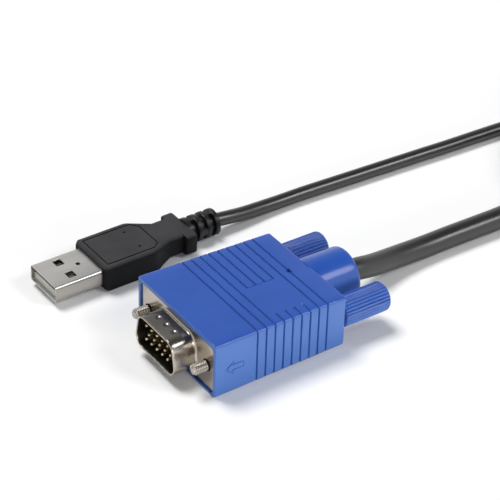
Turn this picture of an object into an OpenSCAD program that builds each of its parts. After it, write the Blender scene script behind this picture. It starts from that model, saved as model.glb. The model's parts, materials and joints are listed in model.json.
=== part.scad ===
// Crash cart adapter: a video plug and a USB plug on short leads, with the adapter
// module that turns them into one USB socket for a laptop. Millimetres, +Z up.
// The origin is on the underside of the video plug's hood, at its middle. The
// mating direction is -X, the leads leave towards +X, and the floor is z = 0.

/* [Video plug hood] */
// Length of the moulded hood
hood_l = 37.2; // [34:0.1:44]
// Width of the hood at its front rim
hood_front_w = 33.1; // [32.6:0.1:36]
// Width of the hood at its rear
hood_rear_w = 32; // [31.6:0.1:36]
// Height of the hood at its front rim
hood_front_h = 14.8; // [14.4:0.1:17]
// Height of the hood at its rear
hood_rear_h = 14; // [13.6:0.1:16]
// Radius of the hood's long edges
hood_edge_r = 0.8; // [0.5:0.1:1.5]
// Height of the plug's centreline above the floor
plug_axis_z = 7.1; // [7.1:0.05:7.3]
// Grip grooves round the hood
groove_count = 9; // [5:1:9]
// Distance from one grip groove to the next
groove_pitch = 2.5; // [2.2:0.05:2.6]
// Distance from the front rim to the first groove
groove_start = 11.7; // [10:0.1:12.5]
// Width of a grip groove
groove_w = 0.6; // [0.4:0.05:0.8]
// Depth of a grip groove
groove_depth = 0.5; // [0.3:0.05:0.55]
// Length of the round collar behind the hood
collar_l = 11.8; // [9:0.1:16]
// Diameter of the collar where it meets the hood
collar_d = 14.2; // [12.5:0.1:14.2]
// Diameter of the collar at its end
collar_end_d = 13.8; // [12:0.1:14]
// Radius of the collar's end edge
collar_edge_r = 1.1; // [0.5:0.1:1.6]

/* [Video plug connector] */
// Width of the steel flange
flange_w = 30.8; // [30:0.1:31.2]
// Height of the steel flange
flange_h = 12.5; // [12:0.1:12.8]
// Depth of the flange's face behind the hood's rim
flange_recess = 0.4; // [0.1:0.1:0.8]
// Thickness of each half of the steel shell
shell_t = 0.5; // [0.4:0.05:0.6]
// Width inside the D-shaped shell at its wide side
d_inside_w = 16.92; // [16.7:0.02:17.1]
// Height inside the D-shaped shell
d_inside_h = 8.36; // [8.2:0.02:8.5]
// Slant of the D-shaped shell's ends
d_slant = 10; // [8:1:12]
// Corner radius inside the D-shaped shell
d_corner_r = 2.4; // [2:0.1:2.6]
// How far the D-shaped shell stands out of the flange
d_reach = 6.2; // [5.5:0.1:6.2]
// Distance between pins of a row
pin_pitch = 2.29; // [2.25:0.01:2.33]
// Distance between rows of pins
pin_row = 1.98; // [1.95:0.01:2.05]
// Diameter of a contact pin
pin_d = 0.76; // [0.7:0.02:0.8]
// How far the pins stop short of the shell's mouth
pin_inset = 0.8; // [0.5:0.1:1.2]

/* [Thumbscrews] */
// Distance between the two thumbscrews
screw_spacing = 24.99; // [24.9:0.01:25.1]
// Diameter of the screw's thread
thread_d = 2.84; // [2.7:0.02:2.9]
// Diameter of the screw's relieved shank
shank_d = 2.3; // [2.1:0.05:2.4]
// How far the screw stands out of the flange
screw_reach = 4.1; // [3.5:0.1:6]
// Diameter of the thumb knob
knob_d = 7.5; // [6.5:0.1:7.6]
// Length of the thumb knob
knob_l = 13.2; // [10:0.1:16]
// Gap between the knob and the hood at rest
knob_gap = 0.6; // [0.6:0.05:1.2]
// Flutes round the knob
flute_count = 28; // [16:2:32]
// Diameter of the cutter of one flute
flute_d = 0.5; // [0.3:0.05:0.6]
// How far the screw can be pushed forward
travel_forward = 0.5; // [0.2:0.05:0.5]
// How far the screw can be drawn back
travel_back = 3.5; // [2:0.1:3.6]
// Outside diameter of the retaining clip
clip_d = 4.6; // [4:0.1:4.8]
// Thickness of the retaining clip
clip_t = 0.6; // [0.4:0.05:0.7]

/* [USB plug] */
// Length of the steel shell in front of the grip
usb_shell_l = 13.4; // [12:0.1:15]
// Width of the steel shell
usb_shell_w = 12; // [11.9:0.05:12.1]
// Height of the steel shell
usb_shell_h = 4.5; // [4.4:0.05:4.6]
// Wall of the steel shell
usb_shell_t = 0.3; // [0.25:0.05:0.35]
// Width of the grip
usb_grip_w = 15.2; // [15:0.1:17]
// Height of the grip
usb_grip_h = 7.2; // [7.2:0.1:9]
// Length of the grip's parallel part
usb_grip_l = 14.4; // [12:0.1:18]
// Length of the taper from the grip to its waist
usb_taper_l = 6.3; // [4:0.1:9]
// Length of the waist in front of the finger wings
usb_waist_l = 3.9; // [2:0.1:6]
// Width of the waist
usb_waist_w = 9.4; // [8.5:0.1:11]
// Height of the waist and wings
usb_waist_h = 5.6; // [5.6:0.1:7]
// Width across the finger wings
usb_wing_w = 12.4; // [11.5:0.1:14]
// Thickness of the finger wings
usb_wing_l = 3.2; // [2:0.1:4]
// Diameter of the ribbed strain relief
relief_d = 7.1; // [5.5:0.1:7.1]
// Ribs of the strain relief behind the first land
relief_ribs = 3; // [2:1:4]
// Width of a rib, and of the gap before it
relief_rib_l = 1.3; // [1:0.1:1.6]
// Length of the land in front of the first gap
relief_land_l = 1.15; // [0.8:0.05:2]

/* [Cords] */
// Diameter of the video cord
video_cord_d = 5.8; // [5:0.1:5.8]
// Diameter of the USB cord
usb_cord_d = 3.7; // [3.2:0.1:3.7]
// Turns of the put-away video cord
video_turns = 2.27; // [1.27:1:2.27]
// Turns of the put-away USB cord
usb_turns = 3.2; // [2.2:1:3.2]
// Radius at the middle of the video cord's turns
video_turn_r = 26; // [26:0.5:27]
// Radius at the middle of the USB cord's turns
usb_turn_r = 15.6; // [15.5:0.1:16.5]
// Gap between neighbouring turns
turn_gap = 0.5; // [0.45:0.05:0.6]

/* [Adapter module] */
// Length of the module's case
case_l = 90; // [84:1:110]
// Width of the module's case
case_w = 56; // [54:1:70]
// Height of the case without its feet
case_h = 20.8; // [20:0.1:26]
// Height of the feet
foot_h = 1.2; // [0.8:0.1:2]
// Height of the seam between cover and base above the floor
seam_z = 10; // [9.5:0.1:11]
// Wall of the case
wall = 1.8; // [1.5:0.1:2.2]
// Radius of the case's upright corners
case_corner_r = 5; // [3:0.5:7]
// Radius of the cover's top edge
case_edge_r = 2; // [1:0.5:3]
// Length of a cord boot outside the case
boot_l = 12; // [9:0.5:12]
// Thickness of the circuit board
board_t = 1.6; // [1.2:0.2:1.6]
// Distance of the case screws from the case's ends
screw_end_inset = 13; // [12:0.5:14]
// Distance of the case screws from the case's sides
screw_side_inset = 5; // [4.8:0.1:6]

/* [Hidden] */
$fn = 48;

// Clearances and overruns
fit = 0.1;
running_fit = 0.08;
over = 1;

// Places of the video plug along X
front_x = -hood_l / 2;
rear_x = hood_l / 2;
flange_x = front_x + flange_recess;
flange_back_x = flange_x + 2 * shell_t;
insulator_lead = 0.6;
cup_w = 18.4;
cup_h = 10.2;
cup_l = 4;
cup_wall = 0.4;
cup_back_x = flange_back_x + cup_l;
solder_cup_l = 3;
solder_cup_d = 1.1;
inner_w = 18.6;
inner_h = 10.8;
inner_rear_gap = 8.2;
inner_back_x = rear_x - inner_rear_gap;
inner_boss_d = 8.6;
inner_boss_l = 6;
ferrule_l = 5.5;
ferrule_wall = 0.4;
collar_end_x = rear_x + collar_l;
pin_columns = 5;
pin_rows = 3;
pin_hole_gap = 0.04;
pin_tip_x = flange_x - d_reach + pin_inset;
flange_corner_r = 0.9;
flange_hole_d = thread_d + 0.26;
shell_bead = 0.5;
bead_l = 0.45;
dimple_r = 0.9;
dimple_depth = 0.25;
dimple_count = 3;
dimple_pitch = 3.3;
dimple_inset = 3.3;

// Smooth pads that interrupt the middle grooves, as shares of the hood's half width
pad_far_share = -0.06;
pad_near_share = -0.76;
pad_first = 3;
pad_last = 6;
pad_line_w = 0.3;
pad_line_depth = 0.2;
notch_l = 1.1;
notch_w = 1.7;
notch_depth = 0.9;
arrow_l = 5.2;
arrow_h = 3.8;
arrow_line = 0.4;
arrow_depth = 0.2;
arrow_inset = 2.8;
arrow_x = front_x + arrow_inset;

// Places of the thumbscrews along X
thread_tip_l = 0.45;
thread_x = flange_x - screw_reach;
thread_end_x = flange_x - fit;
clip_groove_depth = 0.3;
pocket_inset = 8;
pocket_x = front_x + pocket_inset;
pocket_d = clip_d + 0.4;
clip_x = pocket_x + fit + travel_forward;
pocket_l = 2 * fit + travel_forward + clip_t + travel_back;
clip_slot_w = 1.5;
knob_x = rear_x + knob_gap;
knob_edge_r = 0.9;
knob_neck_l = 1;
knob_neck_d = shank_d + fit;
screw_head_d = 3.2;
screw_head_l = 8;

// Places of the USB plug: its own frame starts at the front of its grip
usb_x = -18.5;
usb_y = 39.2;
usb_yaw = 1.1;
usb_z = usb_grip_h / 2;
usb_embed_l = 5;
usb_grip_bevel = 0.5;
usb_grip_bevel_l = 0.7;
usb_grip_r = 0.9;
usb_taper_x = usb_grip_l + usb_taper_l;
usb_wing_x = usb_taper_x + usb_waist_l;
usb_rear_x = usb_wing_x + usb_wing_l;
usb_corner_r = 0.7;
usb_window_l = 2.2;
usb_window_w = 2.4;
usb_window_x = 6.1;
usb_window_y = 2.9;
usb_dimple_x = 9.9;
usb_dimple_d = 1.2;
tongue_h = 1.9;
tongue_inset = 1;
tongue_gap = 0.05;
tongue_block_l = 4.6;
contact_w = 1;
contact_t = 0.25;
contact_proud = 0.1;
contact_y_shares = [-1.4, -0.4, 0.4, 1.4];
contact_pitch = 2.5;
contact_inset = 3;
contact_step = 1;
contact_tail_l = 2.6;
usb_inner_w = 12.6;
usb_inner_h = 5.6;
usb_inner_l = 10.5;
usb_inner_wall = 1;
usb_ferrule_l = 4;
relief_stem_d = 4.6;
relief_core_d = 5.1;
relief_web_w = 1.6;
relief_pitch = 2 * relief_rib_l;
relief_l = relief_land_l + relief_ribs * relief_pitch;
panel_inset = 1.5;
panel_line_w = 0.35;
panel_depth = 0.25;
panel_front_x = 1.3;
panel_rear_x = 17.2;
mark_d = 0.8;
mark_depth = 0.3;
mark_x = usb_grip_l - 2.75 * mark_d;

// Places of the module
case_x = 218;
case_y = 21;
case_top_z = foot_h + case_h;
case_base_z = foot_h;
port_vga_inset = 12;
port_usb_inset = 10;
port_vga_y = case_y - case_w / 2 + port_vga_inset;
port_usb_y = case_y + case_w / 2 - port_usb_inset;
port_z = seam_z;
boot_end_x = case_x - boot_l;
boot_root_d = 9.4;
boot_tip_gap = 1.6;
boot_neck_d = 7.6;
boot_flange_d = 10.4;
boot_flange_l = 1.6;
boot_rib_l = 1;
boot_ribs = 3;
tail_in_l = 9;
tail_lead = 1;
seam_lip = 0.8;
lip_t = 0.8;
board_gap = 0.3;
board_front_gap = 6.6;
board_x = case_x + wall + fit + boot_flange_l + board_front_gap;
board_l = case_x + case_l - wall - fit - board_x;
board_lift = 2.4;
board_z = case_base_z + wall + board_lift;
screw_x_spacing = case_l - 2 * screw_end_inset;
screw_y_spacing = case_w - 2 * screw_side_inset;
post_d = 5;
pilot_d = 2;
case_screw_d = 2.5;
case_screw_l = 9;
case_screw_head_d = 4.6;
case_screw_head_h = 1.5;
screw_sink_d = 5.2;
foot_d = 9;
foot_sink = 0.5;
foot_inset = 10;
label_end_inset = 19;
label_side_inset = 13;
label_l = case_l - 2 * label_end_inset;
label_w = case_w - 2 * label_side_inset;
label_depth = 0.4;
grip_rib_count = 8;
grip_rib_pitch = 3;
grip_rib_w = 1.2;
grip_rib_depth = 0.5;
socket_w = 7.7;
socket_h = 3.9;
socket_l = 9;
socket_t = 0.35;
socket_chamfer = 1;
socket_proud = 0.6;
socket_tongue_w = 4.6;
socket_tongue_h = 0.9;
led_d = 2.9;
led_l = 3.4;
pipe_d = 3;
pipe_head_d = 4;
pipe_head_h = 0.8;
led_inset = 16;
led_x = case_x + case_l - led_inset;
led_y = case_y + case_w / 2 - led_inset;
header_l = 3.6;
header_h = 5;
header_bore_h = 3.2;
header_inset = 7;
header_wire_z = board_z + board_t + header_bore_h;
header_x = board_x + header_inset;
wire_d = 0.7;
bundle_y_share = 0.36;
bundle_z_share = 0.44;
header_pitch = 1.5;
vga_header_wires = 7;
usb_header_wires = 4;
video_chip_w = 14;
video_chip_t = 1.4;
video_chip_pins = 13;
usb_chip_w = 9;
usb_chip_t = 1.2;
usb_chip_pins = 9;
usb_chip_y = -4;
chip_gap = 0.1;
chip_pin_w = 0.4;
chip_pin_l = 0.9;
chip_pin_h = 0.55;
chip_margin = 1.6;
crystal_l = 6;
crystal_d = 4.4;
crystal_h = 3.4;
row_inset = 11;
coil_gap = 5;
coil_count = 3;
coil_pitch = 9;
coil_base_w = 5.6;
coil_base_t = 0.8;
coil_d = 5;
coil_h = 2.4;
can_gap = 6.5;
can_count = 4;
can_pitch = 8;
can_base_w = 4.8;
can_base_t = 0.7;
can_d = 4.2;
can_h = 4.2;

// Routes of the cords where they lie free, one [x, y, z] point after another.
// The first points follow the plug that the cord leaves.
video_z = video_cord_d / 2;
usb_cord_z = usb_cord_d / 2;
cord_entry = 0.5;
vga_cord_start_x = inner_back_x + inner_boss_l - ferrule_l + cord_entry;
usb_cord_start_l = usb_embed_l + usb_inner_l - usb_ferrule_l + cord_entry;
vga_lead_route = [
    [vga_cord_start_x, 0, plug_axis_z], [collar_end_x, 0, plug_axis_z],
    [34.2, 0.1, 6.6], [39.4, 0.8, 5.3], [46.1, 2, 4], [52, 2.6, 3.3],
    [58.5, 2.9, video_z], [66, 2.95, video_z], [74, 2.85, video_z], [82, 2.8, video_z],
    [88, 3.2, video_z], [93.8, 4.4, video_z], [98.9, 6.7, video_z], [103.2, 10, video_z],
    [106.5, 13.8, video_z]
];
usb_lead_route = [
    usb_point(usb_cord_start_l), usb_point(usb_rear_x + relief_l),
    [22, 39.8, 3.3], [27, 39.9, 2.7], [33.2, 40.3, 2.15], [40, 40.5, usb_cord_z],
    [47, 40.45, usb_cord_z], [56, 40.1, usb_cord_z], [65, 39.75, usb_cord_z],
    [75, 39.35, usb_cord_z], [85, 38.95, usb_cord_z], [95, 38.5, usb_cord_z],
    [105, 38.25, usb_cord_z], [114, 37.9, usb_cord_z], [122, 37.1, usb_cord_z],
    [130, 35.9, usb_cord_z], [138, 34.6, usb_cord_z], [145.5, 33.9, usb_cord_z],
    [151.8, 34.3, usb_cord_z], [157, 36, usb_cord_z], [161, 38.7, usb_cord_z],
    [164.1, 41.8, usb_cord_z]
];
vga_tail_route = [
    [163.3, 9.1, 8.4], [167.6, 5.7, 6.8], [172.8, 3.6, 5], [178.8, 2.6, 3.7],
    [185, 2.2, 3.7], [192, 2.8, 5.4], [199, 4, 8.1], [boot_end_x - tail_lead, port_vga_y, port_z],
    [case_x + tail_in_l, port_vga_y, port_z]
];
usb_tail_route = [
    [196.2, 43.6, 6.5], [200.6, 40.9, 8.4], [boot_end_x - tail_lead, port_usb_y, port_z],
    [case_x + tail_in_l, port_usb_y, port_z]
];

// Rings and sides of the cords
turn_rings = 24;
turn_sides = 6;
lead_sides = 8;
wire_sides = 6;

// Vectors
function unit(v) = v / norm(v);
function flat(p) = [p[0], p[1]];
function last(list) = list[len(list) - 1];
function right_of(h) = [h[1], -h[0]];

// A point on the USB plug's centreline, l behind the front of its grip
function usb_point(l) = [usb_x + l * cos(usb_yaw), usb_y + l * sin(usb_yaw), usb_z];

// Outlines
function arc(c, r, from, to, steps = 6) =
    [for (k = [0:steps]) let (a = from + (to - from) * k / steps) c + r * [cos(a), sin(a)]];
function round_box(w, h, r, steps = 6) = concat(
    arc([w / 2 - r, h / 2 - r], r, 0, 90, steps), arc([-w / 2 + r, h / 2 - r], r, 90, 180, steps),
    arc([-w / 2 + r, -h / 2 + r], r, 180, 270, steps), arc([w / 2 - r, -h / 2 + r], r, 270, 360, steps));
function d_end(w, h, r, y) = w / 2 - (y + h / 2) * tan(d_slant) - r / cos(d_slant);
function d_outline(grow = 0) =
    let (w = d_inside_w + 2 * grow, h = d_inside_h + 2 * grow, r = d_corner_r + grow,
         top = d_end(w, h, r, h / 2 - r), low = d_end(w, h, r, -h / 2 + r))
    concat(arc([top, h / 2 - r], r, d_slant, 90), arc([-top, h / 2 - r], r, 90, 180 - d_slant),
           arc([-low, -h / 2 + r], r, 180 - d_slant, 270), arc([low, -h / 2 + r], r, 270, 360 + d_slant));

// Size of the hood's section at x
function hood_share(x) = (x - front_x) / hood_l;
function hood_w_at(x) = hood_front_w + (hood_rear_w - hood_front_w) * hood_share(x);
function hood_h_at(x) = hood_front_h + (hood_rear_h - hood_front_h) * hood_share(x);

// Place of wire k of n across its header
function header_wire_y(k, n) = (k - (n - 1) / 2) * header_pitch;

// Places of the contact pins: [y, z] from the connector's centre
function pin_places() = [
    for (row = [0:pin_rows - 1], column = [0:pin_columns - 1])
        [((pin_columns - 1) / 2 - column) * pin_pitch + (row == 1 ? -pin_pitch / 4 : pin_pitch / 4),
         (1 - row) * pin_row]
];

// Routes of the put-away turns: in on the floor, up one layer, and out again on top
function turn_pitch(d) = d + turn_gap;
function turn_out_r(d, r, turns) = r + turn_pitch(d) * turns / 4;
function turn_r(d, r, turns, t) = r - turn_pitch(d) * turns / 4 + turn_pitch(d) * abs(t - turns / 2);
function climb(t, turns) = let (s = min(1, max(0, 2 * (t - turns / 2) + 0.5))) s * s * (3 - 2 * s);
function coil_heading(lead) = unit(flat(last(lead)) - flat(lead[len(lead) - 2]));
function coil_centre(lead, d, r, turns) =
    let (h = coil_heading(lead)) flat(last(lead)) + d * h + turn_out_r(d, r, turns) * right_of(h);
function coil_angle(lead, t) = let (h = coil_heading(lead)) atan2(h[0], -h[1]) - 360 * t;
function coil_at(lead, d, r, turns, t) =
    let (c = coil_centre(lead, d, r, turns), a = coil_angle(lead, t), q = turn_r(d, r, turns, t))
    [c[0] + q * cos(a), c[1] + q * sin(a), d / 2 + turn_pitch(d) * climb(t, turns)];
function coil_route(lead, d, r, turns) =
    let (steps = round(turns * turn_rings), a = coil_angle(lead, turns), h = [sin(a), -cos(a), 0])
    concat([last(lead)],
           [for (k = [0:steps]) coil_at(lead, d, r, turns, turns * k / steps)],
           [coil_at(lead, d, r, turns, turns) + d * h]);
vga_coil_route = coil_route(vga_lead_route, video_cord_d, video_turn_r, video_turns);
usb_coil_route = coil_route(usb_lead_route, usb_cord_d, usb_turn_r, usb_turns);

// The tails leave straight on from the end of the turns
function tail(coil, d, route) =
    let (end = last(coil), h = unit(end - coil[len(coil) - 2])) concat([end, end + h * d / 2], route);

// Lengths and least gaps, for the log
function length(p, i = 0) = i >= len(p) - 1 ? 0 : norm(p[i + 1] - p[i]) + length(p, i + 1);
function self_gap(p, d) = min([
    for (i = [0:len(p) - 1], j = [0:len(p) - 1]) if (j - i > turn_rings / 2) norm(p[i] - p[j])]) - d;
echo(video_cord_length = length(vga_lead_route) + length(vga_coil_route)
     + length(tail(vga_coil_route, video_cord_d, vga_tail_route)),
     least_gap = self_gap(vga_coil_route, video_cord_d));
echo(usb_cord_length = length(usb_lead_route) + length(usb_coil_route)
     + length(tail(usb_coil_route, usb_cord_d, usb_tail_route)),
     least_gap = self_gap(usb_coil_route, usb_cord_d));

// A swept tube along a route
function tangent(p, i) = unit(p[min(i + 1, len(p) - 1)] - p[max(i - 1, 0)]);
function ring(p, t, r, n) =
    let (side = unit(cross(t, [0, 0, 1])), up = cross(side, t))
    [for (k = [0:n - 1]) let (a = 360 * (k + 0.5) / n) p + r * (cos(a) * side + sin(a) * up)];
module tube(route, d, n) {
    count = len(route);
    rings = [for (i = [0:count - 1]) each ring(route[i], tangent(route, i), d / 2, n)];
    sides = [for (i = [0:count - 2], k = [0:n - 1])
        let (a = i * n + k, b = i * n + (k + 1) % n) each [[a, a + n, b + n], [a, b + n, b]]];
    caps = [for (k = [1:n - 2]) each [[0, k, k + 1], [(count - 1) * n, (count - 1) * n + k + 1,
        (count - 1) * n + k]]];
    polyhedron(rings, concat(sides, caps));
}

// A body lofted through outlines of one count: each section is [x, outline]
module loft(sections) {
    count = len(sections);
    n = len(sections[0][1]);
    points = [for (s = sections) each [for (p = s[1]) [s[0], p[0], p[1]]]];
    sides = [for (i = [0:count - 2], k = [0:n - 1])
        let (a = i * n + k, b = i * n + (k + 1) % n) each [[a, a + n, b + n], [a, b + n, b]]];
    caps = [for (k = [1:n - 2]) each [[0, k, k + 1], [(count - 1) * n, (count - 1) * n + k + 1,
        (count - 1) * n + k]]];
    polyhedron(points, concat(sides, caps));
}

// Shapes along X: an extruded outline, a round rod, and a rod with a rounded end
module along_x(x, l) {
    translate([x, 0, 0]) rotate([90, 0, 90]) linear_extrude(l) children();
}
module rod(x, l, d, end_d = undef) {
    translate([x, 0, 0]) rotate([0, 90, 0]) cylinder(h = l, d1 = d, d2 = is_undef(end_d) ? d : end_d);
}
module turned(x, profile) {
    translate([x, 0, 0]) rotate([0, 90, 0]) rotate_extrude() polygon(profile);
}
module at_screws() {
    for (side = [-1, 1]) translate([0, side * screw_spacing / 2, plug_axis_z]) children();
}
module at_screw(side) {
    translate([0, side * screw_spacing / 2, plug_axis_z]) children();
}
module at_plug() {
    translate([0, 0, plug_axis_z]) children();
}
module at_usb() {
    translate([usb_x, usb_y, usb_z]) rotate([0, 0, usb_yaw]) children();
}

// The hood: a tapered box with rounded edges, a collar, grooves and its hollows
module hood_section(x, inset) {
    w = hood_w_at(x) - 2 * inset;
    h = hood_h_at(x) - 2 * inset;
    translate([0, 0, hood_h_at(x) / 2]) along_x(x, fit) polygon(round_box(w, h, hood_edge_r));
}
module hood_body() {
    hull() {
        hood_section(front_x, hood_edge_r / 4);
        hood_section(front_x + hood_edge_r / 4, 0);
        hood_section(rear_x - hood_edge_r - fit, 0);
        hood_section(rear_x - hood_edge_r / 3 - fit, hood_edge_r / 3);
        hood_section(rear_x - fit, hood_edge_r * 0.9);
    }
}
module collar() {
    r = collar_d / 2;
    end_r = collar_end_d / 2;
    profile = concat([[0, -over], [r, -over], [r, 0]],
        arc([end_r - collar_edge_r, collar_l - collar_edge_r], collar_edge_r, 0, 90), [[0, collar_l]]);
    at_plug() turned(rear_x, profile);
}
module groove_ring(x, w, depth) {
    h = hood_h_at(x);
    translate([0, 0, h / 2]) along_x(x - w / 2, w) difference() {
        square([hood_w_at(x) + 2 * over, h + 2 * over], center = true);
        polygon(round_box(hood_w_at(x) - 2 * depth, h - 2 * depth, hood_edge_r));
    }
}
module pad_block(from_share, to_share, z) {
    half = hood_front_w / 2;
    x = front_x + groove_start + (pad_first - 0.5) * groove_pitch;
    l = (pad_last - pad_first + 1) * groove_pitch;
    translate([x, to_share * half, z]) cube([l, (from_share - to_share) * half, hood_front_h / 2]);
}
module grooves() {
    difference() {
        for (k = [0:groove_count - 1])
            groove_ring(front_x + groove_start + k * groove_pitch, groove_w, groove_depth);
        pad_block(pad_far_share, pad_near_share, hood_front_h * 0.6);
        pad_block(-pad_near_share, pad_near_share, -hood_front_h / 2 + groove_depth + fit);
    }
}
module pad_line() {
    x = front_x + groove_start + pad_first * groove_pitch;
    l = (pad_last - pad_first + 1) * groove_pitch;
    z = hood_h_at(x) - pad_line_depth;
    translate([x, pad_far_share * hood_front_w / 2, z]) cube([l, pad_line_w, over]);
}
module notch() {
    x = front_x + groove_start + (groove_count - 1) * groove_pitch;
    translate([x - notch_l / 2, -notch_w / 2, hood_h_at(x) - notch_depth])
        cube([notch_l, notch_w, over + notch_depth]);
}
module arrow() {
    head = arrow_l * 0.45;
    shaft = arrow_h * 0.22;
    outline = [[0, 0], [head, arrow_h / 2], [head, shaft], [arrow_l, shaft],
               [arrow_l, -shaft], [head, -shaft], [head, -arrow_h / 2]];
    inner = [[arrow_line * 1.6, 0], [head - arrow_line, arrow_h / 2 - 2 * arrow_line],
             [head - arrow_line, shaft - arrow_line / 2], [arrow_l - arrow_line, shaft - arrow_line / 2],
             [arrow_l - arrow_line, -shaft + arrow_line / 2], [head - arrow_line, -shaft + arrow_line / 2],
             [head - arrow_line, -arrow_h / 2 + 2 * arrow_line]];
    y = -hood_w_at(arrow_x + arrow_l / 2) / 2 + arrow_depth;
    translate([arrow_x, y, plug_axis_z]) rotate([90, 0, 0]) linear_extrude(over) difference() {
        polygon(outline);
        polygon(inner);
    }
}
module vga_hood() {
    color("royalblue") difference() {
        union() {
            hood_body();
            collar();
        }
        grooves();
        pad_line();
        notch();
        arrow();
        at_plug() {
            along_x(front_x - over, flange_back_x - front_x + over)
                polygon(round_box(flange_w + 2 * fit, flange_h + 2 * fit, flange_corner_r));
            along_x(flange_back_x - fit, inner_back_x - flange_back_x + 2 * fit)
                square([inner_w + 2 * fit, inner_h + 2 * fit], center = true);
            rod(inner_back_x, inner_boss_l + fit, inner_boss_d + 2 * fit);
            rod(inner_back_x, collar_end_x - inner_back_x + over, video_cord_d + fit);
        }
        at_screws() {
            rod(flange_back_x - fit, pocket_x - flange_back_x + 2 * fit, flange_hole_d);
            rod(pocket_x, pocket_l, pocket_d);
            rod(pocket_x, rear_x - pocket_x + over, shank_d + 2 * running_fit);
        }
    }
}

// The steel shell's two halves
module flange_plate(x) {
    difference() {
        along_x(x, shell_t) polygon(round_box(flange_w, flange_h, flange_corner_r));
        for (side = [-1, 1])
            translate([0, side * screw_spacing / 2, 0]) rod(x - over, shell_t + 2 * over, flange_hole_d);
    }
}
module vga_front_shell() {
    x = flange_x - d_reach;
    color("silver") at_plug() difference() {
        union() {
            flange_plate(flange_x);
            along_x(x, d_reach + shell_t) polygon(d_outline(shell_t));
            along_x(flange_x - bead_l, bead_l) polygon(d_outline(shell_t + shell_bead));
        }
        along_x(x - over, d_reach + shell_t + 2 * over) polygon(d_outline());
        for (k = [0:dimple_count - 1], side = [-1, 1])
            translate([x + dimple_inset, (k - (dimple_count - 1) / 2) * dimple_pitch,
                       side * (d_inside_h / 2 + shell_t + dimple_r - dimple_depth)])
                sphere(r = dimple_r);
    }
}
module vga_rear_shell() {
    color("silver") at_plug() difference() {
        union() {
            flange_plate(flange_x + shell_t);
            along_x(flange_x + shell_t, cup_back_x - flange_x - shell_t)
                square([cup_w, cup_h], center = true);
        }
        along_x(flange_x, shell_t + over) polygon(d_outline());
        along_x(flange_back_x, cup_l + over)
            square([cup_w - 2 * cup_wall, cup_h - 2 * cup_wall], center = true);
    }
}

// The insulator's two halves, with a hole for each pin
module pin_holes(x, l) {
    for (p = pin_places()) translate([0, p[0], p[1]]) rod(x, l, pin_d + 2 * pin_hole_gap);
}
module vga_front_insulator() {
    x = flange_x - insulator_lead;
    color("#202020") at_plug() difference() {
        along_x(x, flange_back_x - x) polygon(d_outline(-tongue_gap));
        pin_holes(x - over, flange_back_x - x + 2 * over);
    }
}
module vga_rear_insulator() {
    color("#202020") at_plug() difference() {
        along_x(flange_back_x, cup_l)
            square([cup_w - 2 * cup_wall - fit, cup_h - 2 * cup_wall - fit], center = true);
        pin_holes(flange_back_x - over, cup_l + 2 * over);
    }
}
module vga_pins() {
    tip = pin_d / 2;
    profile = concat([[0, 0]], arc([0, tip], tip, -90, 0),
        [[tip, cup_back_x - pin_tip_x], [solder_cup_d / 2, cup_back_x - pin_tip_x],
         [solder_cup_d / 2, cup_back_x - pin_tip_x + solder_cup_l],
         [0, cup_back_x - pin_tip_x + solder_cup_l]]);
    color("gold") at_plug() for (p = pin_places()) translate([0, p[0], p[1]]) turned(pin_tip_x, profile);
}

// Place of wire k of n in the end of a cord: two staggered rows
function wire_place(k, n) = [(k - (n - 1) / 2) * (wire_d + running_fit / 2), (k % 2 - 0.5) * wire_d];

// The wires inside the plug, from the solder cups to the end of the cord's jacket
function bundle_place(p) = [p[0] * bundle_y_share, p[1] * bundle_z_share];
module vga_wires() {
    places = pin_places();
    from_x = cup_back_x + solder_cup_l;
    color("firebrick") at_plug() for (k = [0:len(places) - 1])
        let (p = places[k], q = bundle_place(p))
        tube([[from_x, p[0], p[1]], [from_x + (inner_back_x - from_x) / 4, p[0], p[1]],
              [inner_back_x, q[0], q[1]], [vga_cord_start_x, q[0], q[1]]], wire_d, wire_sides);
}
module vga_inner_mould() {
    color("ivory") at_plug() difference() {
        union() {
            along_x(cup_back_x, inner_back_x - cup_back_x) square([inner_w, inner_h], center = true);
            rod(inner_back_x - fit, inner_boss_l + fit, inner_boss_d);
        }
        along_x(cup_back_x - over, inner_back_x - cup_back_x - wall + over)
            square([inner_w - 2 * wall, inner_h - 2 * wall], center = true);
        rod(cup_back_x, inner_back_x - cup_back_x + inner_boss_l + over,
            video_cord_d + 2 * fit + 2 * ferrule_wall);
    }
}
module vga_cord_ferrule() {
    x = inner_back_x + inner_boss_l - ferrule_l;
    color("goldenrod") at_plug() difference() {
        rod(x, ferrule_l, video_cord_d + fit + 2 * ferrule_wall);
        rod(x - over, ferrule_l + 2 * over, video_cord_d + fit);
    }
}

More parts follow.
